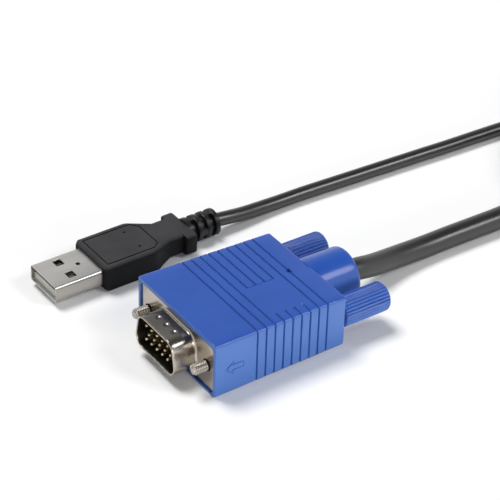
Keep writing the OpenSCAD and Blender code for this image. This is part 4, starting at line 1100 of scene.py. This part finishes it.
@dataclass
class Thumbscrew:
    """A captive screw with its fluted knob, about a line along X whose [y, z] is the centre."""

    shop: Workshop
    side: Side
    centre: Point
    knob_x: float
    knob_l: float = 13.2
    knob_r: float = 3.75
    knob_edge_r: float = 1.0
    bore_l: float = 1.0
    flutes: int = 28
    flute_depth: float = 0.34
    tip_x: float = -22.3
    thread_l: float = 4.0
    thread_r: float = 1.42
    thread_pitch: float = 0.635
    thread_depth: float = 0.44
    lead_in_l: float = 0.55
    run_out_l: float = 0.4
    shank_r: float = 1.15
    clip_x: float = -10.05
    clip_w: float = 0.7
    clip_r: float = 0.85
    head_r: float = 1.6

    @property
    def body(self) -> str:
        """The body that this screw is."""
        return f"{self.side.word}_thumbscrew"

    def build_knob(self) -> None:
        """Makes the knob: a round body whose radius dips at each flute."""
        sides = self.flutes * 8
        angles = np.arange(sides) * 2 * math.pi / sides
        wave = np.clip(1.5 * np.cos(self.flutes * angles) + 0.35, -1, 1)
        dip = self.flute_depth * (1 - wave) / 2
        # Each station has its place, the radius's growth and the flutes' share of their depth.
        stations = [(0.0, -0.3, 0.0), (0.08, -0.12, 0.4), (0.25, 0.0, 1.0), (1.2, 0.0, 1.0), (6.0, 0.0, 1.0),
                    (self.knob_l - 2.6, 0.0, 1.0), (self.knob_l - 1.9, 0.0, 1.0)]
        turns = range(0, 91, 10)
        stations += [(self.knob_l - self.knob_edge_r * far, -self.knob_edge_r * near, max(0.0, 1 - turn / 55))
                     for turn, (near, far) in zip(turns, rounding(turns))]
        bore = np.full(sides, self.shank_r + 0.05)
        rings = [ring_at(self.knob_x + x, bore, self.centre) for x in (self.bore_l, 0.0)]
        rings += [ring_at(self.knob_x + x, self.knob_r + grow - dip * share, self.centre)
                  for x, grow, share in stations]
        self.shop.place(skin(f"{self.side.word}_knob_grip", rings), Slot.HOOD, self.body,
                        [f"{self.side.word}_knob"], 50)

    def build_screw(self) -> None:
        """Makes the screw with a cut thread, a relieved shank and a head."""
        sides = 36
        angles = np.arange(sides) * 2 * math.pi / sides
        rings = []
        steps = int(self.thread_l / 0.08)
        for step in range(steps + 1):
            x = self.thread_l * step / steps
            turn = (x / self.thread_pitch - angles / (2 * math.pi)) % 1
            crest = self.thread_r - self.thread_depth * np.abs(2 * turn - 1)
            lead_in = self.thread_r + min(0.0, x - self.lead_in_l)
            left = max(0.0, (x - self.thread_l + self.run_out_l) / self.run_out_l)
            run_out = self.thread_r - (self.thread_r - self.shank_r) * left
            radii = np.minimum(np.minimum(crest, lead_in), run_out)
            rings.append(ring_at(self.tip_x + x, radii, self.centre))
        clip_end = self.clip_x + self.clip_w
        head_x, end_x = self.knob_x + 1, self.knob_x + 9
        for x, radius in ((self.clip_x, self.shank_r), (self.clip_x, self.clip_r), (clip_end, self.clip_r),
                          (clip_end, self.shank_r), (head_x, self.shank_r), (head_x, self.head_r),
                          (end_x, self.head_r)):
            rings.append(ring_at(x, np.full(sides, radius), self.centre))
        self.shop.place(skin(f"{self.side.word}_screw", rings), Slot.SCREW, self.body,
                        [f"{self.side.word}_jackscrew"], 50)

    def build(self) -> None:
        """Makes the knob and the screw."""
        self.build_knob()
        self.build_screw()


# The USB plug


@dataclass
class UsbPlug:
    """The USB plug, built in its own frame from the front of its grip, then turned into place."""

    shop: Workshop
    origin: tuple[float, float] = (-18.5, 39.2)
    yaw: float = 1.1
    shell_l: float = 13.4
    shell_w: float = 12.0
    shell_h: float = 4.5
    sheet: float = 0.3
    grip_w: float = 15.2
    grip_h: float = 7.2
    grip_l: float = 14.4
    waist_x: float = 20.7
    wing_x: float = 24.6
    rear_x: float = 27.8
    waist_w: float = 9.4
    waist_h: float = 5.6
    wing_w: float = 12.4
    relief_r: float = 3.55
    rib_l: float = 1.3
    land_l: float = 1.15
    cord_d: float = 3.7
    window_back: float = 6.1
    window_y: float = 2.9
    hollow_l: float = 5.1
    mark_depth: float = 0.3
    core_x: float = 15.6
    core_r: float = 2.3

    @property
    def mid_z(self) -> float:
        """Height of the plug's centreline."""
        return self.grip_h / 2

    @property
    def window_x(self) -> float:
        """Place of the windows' middle along the plug."""
        return self.window_back - self.shell_l

    def _settle(self, piece: Piece) -> Piece:
        """Moves a piece from the plug's own frame into the part's.

        Args:
            piece: The piece, whose mesh is changed.

        Returns:
            The same piece.
        """
        turn = Matrix.Rotation(math.radians(self.yaw), 4, "Z")
        piece.data.transform(Matrix.Translation(Vector((*self.origin, self.mid_z)) * MM) @ turn)
        return piece

    def build_shell(self) -> None:
        """Makes the sheet steel shell with its windows and hole."""
        outline = Outline(even(6), even(3))
        front, back, edge = -self.shell_l, self.hollow_l - 0.1, 0.12
        outer, middle, inner = (
            outline.points(self.shell_w - share * self.sheet, self.shell_h - share * self.sheet, radius)
            for share, radius in ((0, 0.7), (1, 0.55), (2, 0.4)))
        shell = skin("usb_steel_shell", [at_x(shape, x) for shape, x in (
            (outer, back), (outer, front + edge), (middle, front), (inner, front + edge), (inner, back))],
            closed=True)
        window = Outline([0.0], [0.0], 4).points(2.2, 2.4, 0.25)
        cutters = [prism(f"window_{side}", window + (self.window_x, side * self.window_y), -5, 5)
                   for side in (-1, 1)]
        cutters.append(prism("hole", circle((self.window_x + 3.8, 0), 0.6, 24), 0, 5))
        cut(shell, cutters)
        bevel(shell, 0.05, 1, 60)
        self.shop.place(self._settle(shell), Slot.USB_STEEL, nodes=["usb_shell"])

    def build_springs(self) -> None:
        """Makes the dark bent tabs seen through the windows."""
        bent = [(-1.6, 1.9), (-0.3, 1.25), (0.9, 1.5), (0.9, 1.35), (-0.3, 1.1), (-1.6, 1.75)]
        tabs = [skin(f"tab_{side}", [np.array([(self.window_x + x, y, z) for x, z in bent])
                                     for y in (side * self.window_y - 0.85, side * self.window_y + 0.85)])
                for side in (-1, 1)]
        self.shop.place(self._settle(join("shell_spring_tabs", tabs)), Slot.SPRING)

    def build_grip(self) -> None:
        """Makes the moulded grip: body, taper, waist and finger wings."""
        outline = Outline(even(10), even(6))
        taper, edge = self.waist_x - self.grip_l, 0.45
        stations = [(0.0, self.grip_w - 1.5, self.grip_h - 1.5), (0.15, self.grip_w - 1.0, self.grip_h - 1.0),
                    (0.75, self.grip_w - 0.15, self.grip_h - 0.15), (1.0, self.grip_w, self.grip_h),
                    (self.grip_l - 0.4, self.grip_w, self.grip_h)]
        stations += [(self.grip_l + taper * share, self.grip_w + (self.waist_w - self.grip_w) * share,
                      self.grip_h + (self.waist_h - self.grip_h) * share)
                     for share in (0.06, 0.2, 0.4, 0.6, 0.8, 0.94, 1.0)]
        stations += [(self.wing_x - 0.01, self.waist_w, self.waist_h),
                     (self.wing_x, self.waist_w + 0.4, self.waist_h - 0.01)]
        turns = rounding((0, 30, 60, 90))
        stations += [(self.wing_x + edge * near, self.wing_w - 2 * edge * far, self.waist_h)
                     for near, far in turns]
        stations += [(self.rear_x - edge * far, self.wing_w - 2 * edge * near, self.waist_h - 0.5 * near)
                     for near, far in turns]
        grip = skin("usb_grip_moulding", [at_x(outline.points(w, h, 0.9), x) for x, w, h in stations])
        inside = Outline(even(2), even(2)).points(self.shell_w + 0.1, self.shell_h + 0.1, 0.7)
        hollow = skin("hollow", [at_x(inside, x) for x in (-1, self.hollow_l)])
        marks = [prism(f"mark_{side}", circle((self.grip_l - 2.2, side * 3.6), 0.4, 16),
                       self.grip_h / 2 - self.mark_depth, self.grip_h) for side in (-1, 1)]
        cut(grip, [hollow, self._panel_line(), *marks])
        self.shop.place(self._settle(grip), Slot.GRIP, nodes=["usb_grip"], angle=30)

    def _panel_line(self) -> Piece:
        """Makes the cutter of the line round the grip's top panel, which follows the taper down.

        Returns:
            The cutter.
        """
        front, bend, rear = 1.3, self.grip_l + 1.5, 17.2
        wide, slim, line = self.grip_w / 2 - 1.5, self.waist_w / 2 - 0.4, 0.35
        outer = [(rear, slim), (bend - 0.6, wide), (self.grip_l, wide), (front, wide)]
        inner = [(rear - line, slim - line * 0.6), (bend - 0.8, wide - line), (self.grip_l, wide - line),
                 (front + line, wide - line)]
        outer, inner = ([(x, -y) for x, y in reversed(side)] + side for side in (outer, inner))
        cutter = frame_prism("panel_line", outer, inner, self.grip_h / 2 - self.mark_depth, self.grip_h)
        slope = (self.grip_h - self.waist_h) / 2 / (self.waist_x - self.grip_l)
        for vertex in cutter.data.vertices:
            vertex.co.z -= slope * max(0.0, vertex.co.x / MM - self.grip_l) * MM
        return cutter

    def build_relief(self) -> None:
        """Makes the ribbed strain relief: a core, its ribs and the webs between them."""
        bore, r, edge = self.cord_d / 2 + CORD_GAP, self.relief_r, 0.15
        disc = [(0, bore), (0, r - edge), (edge * 0.3, r - edge * 0.3), (edge, r), (self.rib_l - edge, r),
                (self.rib_l - edge * 0.3, r - edge * 0.3), (self.rib_l, r - edge), (self.rib_l, bore)]
        rib = lathe("rib", disc, (0, 0), 64, bore=True)
        start, step = self.rear_x + self.land_l, (2 * self.rib_l, 0, 0)
        ribs = self.shop.rows("ribs", rib, Slot.RELIEF, 3, [(start + self.rib_l, 0, 0)], step)
        root = self.rear_x - 0.2
        land = lathe("land", [(root, bore), (root, r - edge), (self.rear_x + 0.02, r - edge),
                              (self.rear_x + edge, r), (start - edge, r), (start, r - edge), (start, bore)],
                     (0, 0), 64, bore=True)
        end = start + 6 * self.rib_l - 0.05
        core = lathe("core", [(self.core_x, bore), (self.core_x, self.core_r), (self.rear_x, self.core_r),
                              (self.rear_x, 2.55), (end, 2.55), (end, bore)], (0, 0), 48, bore=True)
        web = block("web", (-0.1, -0.8, -r + 0.12), (self.rib_l + 0.1, 0.8, r - 0.12))
        webs = self.shop.rows("webs", web, Slot.RELIEF, 3, [(start, 0, 0)], step, turn=90)
        relief = join("usb_strain_relief_ribs", [land, ribs, core, webs])
        self.shop.place(self._settle(relief), Slot.RELIEF, nodes=["usb_strain_relief"])

    def build(self) -> None:
        """Makes the whole plug."""
        self.build_shell()
        self.build_springs()
        self.build_grip()
        self.build_relief()


# The cords


@dataclass
class Cord:
    """A round cord: a lead on the table, turns put away as a coil, and a tail into the case."""

    shop: Workshop
    name: str
    diameter: float
    real_length: float
    lead: list[Point]
    tail: list[Point]
    turn_r: float
    turns: float
    exit_point: Point
    nodes: tuple[str, ...]
    turn_gap: float = 0.5
    rings_per_turn: int = 48
    sides: int = 20

    def route(self) -> list[np.ndarray]:
        """Works out the whole centreline, in millimetres.

        Returns:
            Its points.
        """
        lead = [np.array(point, dtype=float) for point in self.lead]
        heading = lead[-1][:2] - lead[-2][:2]
        heading = heading / np.linalg.norm(heading)
        pitch = self.diameter + self.turn_gap
        outer = self.turn_r + pitch * self.turns / 4
        centre = lead[-1][:2] + self.diameter * heading + outer * np.array([heading[1], -heading[0]])
        start = math.atan2(heading[0], -heading[1])
        steps = round(self.turns * self.rings_per_turn)
        coil = []
        for step in range(steps + 1):
            turn = self.turns * step / steps
            radius = self.turn_r - pitch * self.turns / 4 + pitch * abs(turn - self.turns / 2)
            angle = start - 2 * math.pi * turn
            share = min(1.0, max(0.0, 2 * (turn - self.turns / 2) + 0.5))
            rise = share * share * (3 - 2 * share)
            coil.append(np.array([centre[0] + radius * math.cos(angle), centre[1] + radius * math.sin(angle),
                                  self.diameter / 2 + pitch * rise]))
        out = np.array([math.sin(angle), -math.cos(angle), 0.0]) * self.diameter
        tail = [np.array(point, dtype=float) for point in self.tail]
        after = [coil[-1], coil[-1] + out, coil[-1] + 1.5 * out, *tail]
        return [*self._smooth(lead, coil[0]), *coil, *self._smooth(after, None)[1:]]

    @staticmethod
    def _smooth(points: list[np.ndarray], beyond: Optional[np.ndarray]) -> list[np.ndarray]:
        """Puts four steps of a smooth curve between neighbouring points.

        Args:
            points: The points it passes through.
            beyond: A point after the last that sets the end's direction.

        Returns:
            The finer points, without the point beyond.
        """
        if beyond is None:
            beyond = points[-1] * 2 - points[-2]
        ends = [points[0] * 2 - points[1], *points, beyond]
        finer = []
        for number in range(1, len(ends) - 2):
            before, start, end, after = ends[number - 1 : number + 3]
            span = np.linalg.norm(end - start)
            start_slope = (end - before) / (np.linalg.norm(start - before) + span) * span
            end_slope = (after - start) / (np.linalg.norm(after - end) + span) * span
            for step in range(4):
                t = step / 4
                finer.append((2 * t**3 - 3 * t**2 + 1) * start + (t**3 - 2 * t**2 + t) * start_slope
                             + (-2 * t**3 + 3 * t**2) * end + (t**3 - t**2) * end_slope)
        finer.append(points[-1])
        return finer

    def build(self) -> None:
        path = self.route()
        angles = (np.arange(self.sides) + 0.5) * 2 * math.pi / self.sides
        rings = []
        for number, point in enumerate(path):
            ahead = path[min(number + 1, len(path) - 1)] - path[max(number - 1, 0)]
            ahead = ahead / np.linalg.norm(ahead)
            side = np.cross(ahead, (0, 0, 1))
            side = side / np.linalg.norm(side)
            up = np.cross(side, ahead)
            ring = np.outer(np.cos(angles), side) + np.outer(np.sin(angles), up)
            rings.append(point + self.diameter / 2 * ring)
        cord = skin(self.name, rings)
        self.shop.place(cord, Slot.CORD, nodes=self.nodes)
        run = sum(float(np.linalg.norm(b - a)) for a, b in zip(path, path[1:]))
        log.info("%s runs %.1f mm", self.name, run)


def usb_point(distance: float) -> Point:
    """Gives a point on the USB plug's centreline, a distance behind the front of its grip."""
    angle = math.radians(UsbPlug.yaw)
    return (UsbPlug.origin[0] + distance * math.cos(angle), UsbPlug.origin[1] + distance * math.sin(angle),
            UsbPlug.grip_h / 2)


def video_cord(shop: Workshop) -> Cord:
    """Describes the video cord.

    Args:
        shop: Where it is built.

    Returns:
        The cord.
    """
    z, exit_point = 2.9, (30.4, 0, 7.1)
    lead = [(11.4, 0, 7.1), exit_point, (34.2, 0.1, 6.6), (39.4, 0.8, 5.3), (46.1, 2, 4), (52, 2.6, 3.3),
            (58.5, 2.9, z), (66, 2.95, z), (74, 2.85, z), (82, 2.8, z), (88, 3.2, z), (93.8, 4.4, z),
            (98.9, 6.7, z), (103.2, 10, z), (106.5, 13.8, z)]
    tail = [(163.3, 9.1, 8.4), (167.6, 5.7, 6.8), (172.8, 3.6, 5), (178.8, 2.6, 3.7), (185, 2.2, 3.7),
            (192, 2.8, 5.4), (199, 4, 8.1), (205, 5, 10), (227, 5, 10)]
    return Cord(shop, "video_cord", diameter=5.8, real_length=0.55, lead=lead, tail=tail, turn_r=26,
                turns=2.27, exit_point=exit_point, nodes=("vga_cord_lead", "vga_cord_coil", "vga_cord_tail"))


def usb_cord(shop: Workshop) -> Cord:
    """Describes the USB cord.

    Args:
        shop: Where it is built.

    Returns:
        The cord.
    """
    z, exit_point = 1.85, usb_point(36.75)
    lead = [usb_point(12), exit_point, (22, 39.8, 3.3), (27, 39.9, 2.7), (33.2, 40.3, 2.15), (40, 40.5, z),
            (47, 40.45, z), (56, 40.1, z), (65, 39.75, z), (75, 39.35, z), (85, 38.95, z), (95, 38.5, z),
            (105, 38.25, z), (114, 37.9, z), (122, 37.1, z), (130, 35.9, z), (138, 34.6, z), (145.5, 33.9, z),
            (151.8, 34.3, z), (157, 36, z), (161, 38.7, z), (164.1, 41.8, z)]
    tail = [(196.2, 43.6, 6.5), (200.6, 40.9, 8.4), (205, 39, 10), (227, 39, 10)]
    return Cord(shop, "usb_cord", diameter=3.7, real_length=0.52, lead=lead, tail=tail, turn_r=15.6,
                turns=3.2, exit_point=exit_point, nodes=("usb_cord_lead", "usb_cord_coil", "usb_cord_tail"))


# The adapter's case


@dataclass
class AdapterCase:
    """The flat case that both cords enter, with the socket for the laptop's cord."""

    shop: Workshop
    x: float = 218.0
    y: float = 21.0
    length: float = 90.0
    width: float = 56.0
    base_z: float = 1.2
    top_z: float = 22.0
    seam_z: float = 10.0
    wall: float = 1.8
    corner_r: float = 5.0
    edge_r: float = 2.0
    video_y: float = 5.0
    usb_y: float = 39.0
    socket_z: float = 8.95
    port_r: float = 3.85
    slot_pitch: float = 3.0
    sink_r: float = 2.6
    label_depth: float = 0.4
    pipe_centre: tuple[float, float] = (292.0, 33.0)
    pipe_hole_r: float = 1.55
    outline: Outline = field(default_factory=lambda: Outline(even(4), even(4), 10))

    @property
    def mid_x(self) -> float:
        """The case's middle along X."""
        return self.x + self.length / 2

    def _ring(self, inset: float, z: float) -> np.ndarray:
        """Makes a ring of the case, drawn in from its outside."""
        drawn = (self.length - 2 * inset, self.width - 2 * inset, max(self.corner_r - inset, 0.6))
        return at_z(self.outline.points(*drawn), z, self.mid_x, self.y)

    def _port_cutters(self) -> list[Piece]:
        """Makes the shapes of the cord holes and the socket's opening.

        Returns:
            The cutters.
        """
        end, half_w, half_h = self.x + self.length, 4.05, 2.15
        ports = [rod(f"port_{y}", (self.x - 1, self.x + 3), self.port_r, (y, self.seam_z), 32)
                 for y in (self.video_y, self.usb_y)]
        return [*ports, block("socket_opening", (end - 3, self.y - half_w, self.socket_z - half_h),
                              (end + 1, self.y + half_w, self.socket_z + half_h))]

    def _grip_cutter(self) -> Piece:
        """Makes the finger ribs' slots of both sides.

        Returns:
            The cutter.
        """
        low, high = self.base_z + self.edge_r, self.top_z - 2 * self.edge_r
        slot = block("slot", (-0.6, -0.5, low), (0.6, 0.5, high))
        starts = [(self.mid_x - 3.5 * self.slot_pitch, self.y + side * self.width / 2, 0) for side in (-1, 1)]
        return self.shop.rows("slots", slot, Slot.CASE, 8, starts, (self.slot_pitch, 0, 0))

    def build_cover(self) -> None:
        """Makes the cover, with its rounded top edge and the bare sunk field."""
        label_l, label_w = self.length - 38, self.width - 26
        rings = [self._ring(self.wall, self.top_z - self.wall), self._ring(self.wall, self.seam_z),
                 self._ring(0.18, self.seam_z), self._ring(0, self.seam_z + 0.18)]
        rings += [self._ring(self.edge_r * near, self.top_z - self.edge_r * far)
                  for near, far in rounding(range(0, 91, 15))]
        for grow, drop in ((0.15, 0), (0, 0.15), (0, self.label_depth)):
            flat = self.outline.points(label_l + 2 * grow, label_w + 2 * grow, 1.5)
            rings.append(at_z(flat, self.top_z - drop, self.mid_x, self.y))
        cover = skin("case_cover_moulding", rings)
        hole = circle(self.pipe_centre, self.pipe_hole_r, 32)
        pipe = prism("pipe_hole", hole, self.top_z - 4, self.top_z + 1)
        cut(cover, [*self._port_cutters(), pipe, self._grip_cutter()])
        self.shop.place(cover, Slot.CASE, nodes=["case_cover"], angle=32)

    def build_base(self) -> None:
        """Makes the base, with screw sinks and a stepped seam."""
        rings = [self._ring(inset, z) for inset, z in (
            (self.wall, self.base_z + self.wall), (self.wall, self.seam_z - 0.05), (0.35, self.seam_z - 0.05),
            (0.35, self.seam_z - 0.3), (0.1, self.seam_z - 0.42), (0, self.seam_z - 0.6))]
        rings += [self._ring(near, self.base_z + far) for near, far in rounding(range(0, 91, 22))]
        rings.append(self._ring(1.4, self.base_z))
        base = skin("case_base_moulding", rings)
        sinks = [prism(f"sink_{x}_{y}", circle((self.mid_x + x, self.y + y), self.sink_r, 32),
                       self.base_z - 1, self.base_z + 1.6) for x in (-32, 32) for y in (-23, 23)]
        cut(base, [*self._port_cutters(), self._grip_cutter(), *sinks])
        self.shop.place(base, Slot.CASE, nodes=["case_base"], angle=32)

    def build_boots(self) -> None:
        """Makes the tapered boots with their cross slots where the cords enter."""
        for name, y, cord_d in (("vga_cord_boot", self.video_y, 5.8), ("usb_cord_boot", self.usb_y, 3.7)):
            bore, tip, start = cord_d / 2 + CORD_GAP, cord_d / 2 + 1.6, self.x - 12
            profile = [(start, bore), (start, tip - 0.3), (start + 0.3, tip)]
            profile += [(self.x + x, r) for x, r in ((-1.0, 4.6), (-0.3, 4.7), (-0.1, 4.5), (-0.1, 3.8),
                                                     (1.9, 3.8), (1.9, 5.2), (3.5, 5.2), (3.5, bore))]
            boot = lathe(f"{name}_moulding", profile, (y, self.seam_z), 48, bore=True)
            slots = []
            for number in range(3):
                x = start + 2 + 2.6 * number
                for side in (-1, 1):
                    low, high = sorted((side * (cord_d / 2 + 0.7), side * 6.0))
                    part, whole = (low, high), (-6, 6)
                    (low_y, high_y), (low_z, high_z) = (whole, part) if number % 2 else (part, whole)
                    slots.append(block(f"slot_{number}_{side}", (x, y + low_y, self.seam_z + low_z),
                                       (x + 1, y + high_y, self.seam_z + high_z)))
            cut(boot, slots)
            self.shop.place(boot, Slot.RELIEF, nodes=[name])

    def build_feet(self) -> None:
        """Makes the four rubber feet."""
        foot = lathe("foot", [(0, 0), (0, 3.7), (0.25, 4.05), (1.7, 4.5), (1.7, 0)], (0, 0), 48)
        foot.data.transform(Matrix.Rotation(math.radians(-90), 4, "Y"))
        starts = [(self.mid_x - 26, self.y + side * 18, 0) for side in (-1, 1)]
        feet = self.shop.rows("rubber_feet", foot, Slot.FOOT, 2, starts, (52, 0, 0))
        self.shop.place(feet, Slot.FOOT, nodes=["case_feet"])

    def build(self) -> None:
        """Makes the case's own pieces; the board and what it carries stay as the frame has them."""
        self.build_cover()
        self.build_base()
        self.build_boots()
        self.build_feet()


# The studio


@dataclass
class Studio:
    """Floor, light and camera."""

    azimuth: float = -35.306
    elevation: float = 34.839
    roll: float = 1.849
    target: tuple[float, float, float] = (21.869, 28.418, 0.0)
    distance: float = 506.506
    lens: float = 144.026
    floor_size: float = 6.0
    shade_strength: float = 0.1
    zenith_strength: float = 0.15
    lamps: tuple[tuple[str, Point, float, float], ...] = (
        ("back", (-170, 670, 1530), 760, 23.5),
        ("front", (620, -750, 880), 470, 5.2),
        ("low", (-150, -1480, 260), 700, 10.0),
        ("side", (-1240, -120, 520), 600, 0.6),
    )

    def build_camera(self) -> None:
        """Sets the camera at the photograph's viewing angle."""
        a, e, r = (math.radians(value) for value in (self.azimuth, self.elevation, self.roll))
        back = Vector((math.sin(a) * math.cos(e), -math.cos(a) * math.cos(e), math.sin(e)))
        level = (-back).cross(Vector((0, 0, 1))).normalized()
        raised = level.cross(-back)
        right = level * math.cos(r) + raised * math.sin(r)
        up = raised * math.cos(r) - level * math.sin(r)
        camera = bpy.data.cameras.new("camera")
        camera.lens = self.lens
        camera.sensor_width = 36.0
        camera.clip_start = 0.02
        holder = add_object("camera", camera)
        turn = Matrix((right, up, back)).transposed().to_4x4()
        holder.matrix_world = Matrix.Translation((Vector(self.target) + back * self.distance) * MM) @ turn
        bpy.context.scene.camera = holder

    @staticmethod
    def _seen(tree: NodeTree) -> Node:
        """Makes the mask of camera, glossy and transmission rays.

        Args:
            tree: The tree that it goes into.

        Returns:
            The node that gives the mask.
        """
        rays = tree.nodes.new("ShaderNodeLightPath")
        first, both = add_math(tree, "MAXIMUM"), add_math(tree, "MAXIMUM")
        wire(tree, (rays, "Is Camera Ray", first, 0), (rays, "Is Glossy Ray", first, 1), (first, 0, both, 0),
             (rays, "Is Transmission Ray", both, 1))
        return both

    def build_floor(self) -> None:
        """Makes the white floor, which glows where it is seen and more so in its far parts."""
        half = self.floor_size / 2
        mesh = bpy.data.meshes.new("floor")
        corners = [(-half, -half, 0), (half, -half, 0), (half, half, 0), (-half, half, 0)]
        mesh.from_pydata(corners, [], [(0, 1, 2, 3)])
        material = bpy.data.materials.new("floor")
        material.use_nodes = True
        tree = material.node_tree
        shader = set_inputs(tree.nodes["Principled BSDF"], {
            "Base Color": (0.9, 0.9, 0.9, 1), "Roughness": 0.9, "Specular IOR Level": 0.1,
            "Emission Color": (1, 1, 1, 1)})
        place, far = tree.nodes.new("ShaderNodeTexCoord"), tree.nodes.new("ShaderNodeVectorMath")
        far.operation = "LENGTH"
        fade = add_ramp(tree, {"From Min": 0.35, "From Max": 1.3, "To Min": 0.04, "To Max": 1.0})
        strength = add_math(tree, "MULTIPLY")
        wire(tree, (place, "Object", far, 0), (far, "Value", fade, "Value"), (fade, "Result", strength, 1),
             (self._seen(tree), 0, strength, 0), (strength, 0, shader, "Emission Strength"))
        mesh.materials.append(material)
        add_object("floor", mesh)

    def build_world(self) -> None:
        """Makes the even light from all round, white where it is seen and darker overhead in reflections."""
        world = bpy.data.worlds.new("studio")
        bpy.context.scene.world = world
        world.use_nodes = True
        tree = world.node_tree
        background = set_inputs(tree.nodes["Background"], {"Color": (1, 1, 1, 1)})
        place, parts = tree.nodes.new("ShaderNodeTexCoord"), tree.nodes.new("ShaderNodeSeparateXYZ")
        zenith = add_ramp(tree, {"From Min": 0.25, "From Max": 0.8, "To Min": 1.0,
                                 "To Max": self.zenith_strength})
        level = add_ramp(tree, {"To Min": self.shade_strength})
        rays, clear = tree.nodes.new("ShaderNodeLightPath"), add_math(tree, "MAXIMUM")
        wire(tree, (place, "Generated", parts, "Vector"), (parts, "Z", zenith, "Value"),
             (zenith, "Result", clear, 0), (rays, "Is Camera Ray", clear, 1), (clear, 0, level, "To Max"),
             (self._seen(tree), 0, level, "Value"), (level, "Result", background, "Strength"))

    def build_lamps(self) -> None:
        """Hangs the soft lamps."""
        for name, away, size, power in self.lamps:
            light = bpy.data.lights.new(name, "AREA")
            light.shape = "DISK"
            light.size = size * MM
            light.energy = power
            holder = add_object(name, light)
            holder.location = (Vector(self.target) + Vector(away)) * MM
            holder.rotation_euler = Vector(away).to_track_quat("Z", "Y").to_euler()

    def build(self) -> None:
        """Sets up the studio."""
        self.build_camera()
        self.build_world()
        self.build_floor()
        self.build_lamps()
        bpy.context.scene.view_settings.view_transform = "Standard"


def main() -> None:
    """Builds and dresses the adapter."""
    logging.basicConfig(level=logging.INFO, format="%(name)s: %(message)s")
    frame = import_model()
    Studio().build()
    shop = Workshop(frame)
    shop.dress_nodes()
    video_cord(shop).build()
    usb_cord(shop).build()
    VideoPlug(shop).build()
    UsbPlug(shop).build()
    AdapterCase(shop).build()


if __name__ == "__main__":
    main()
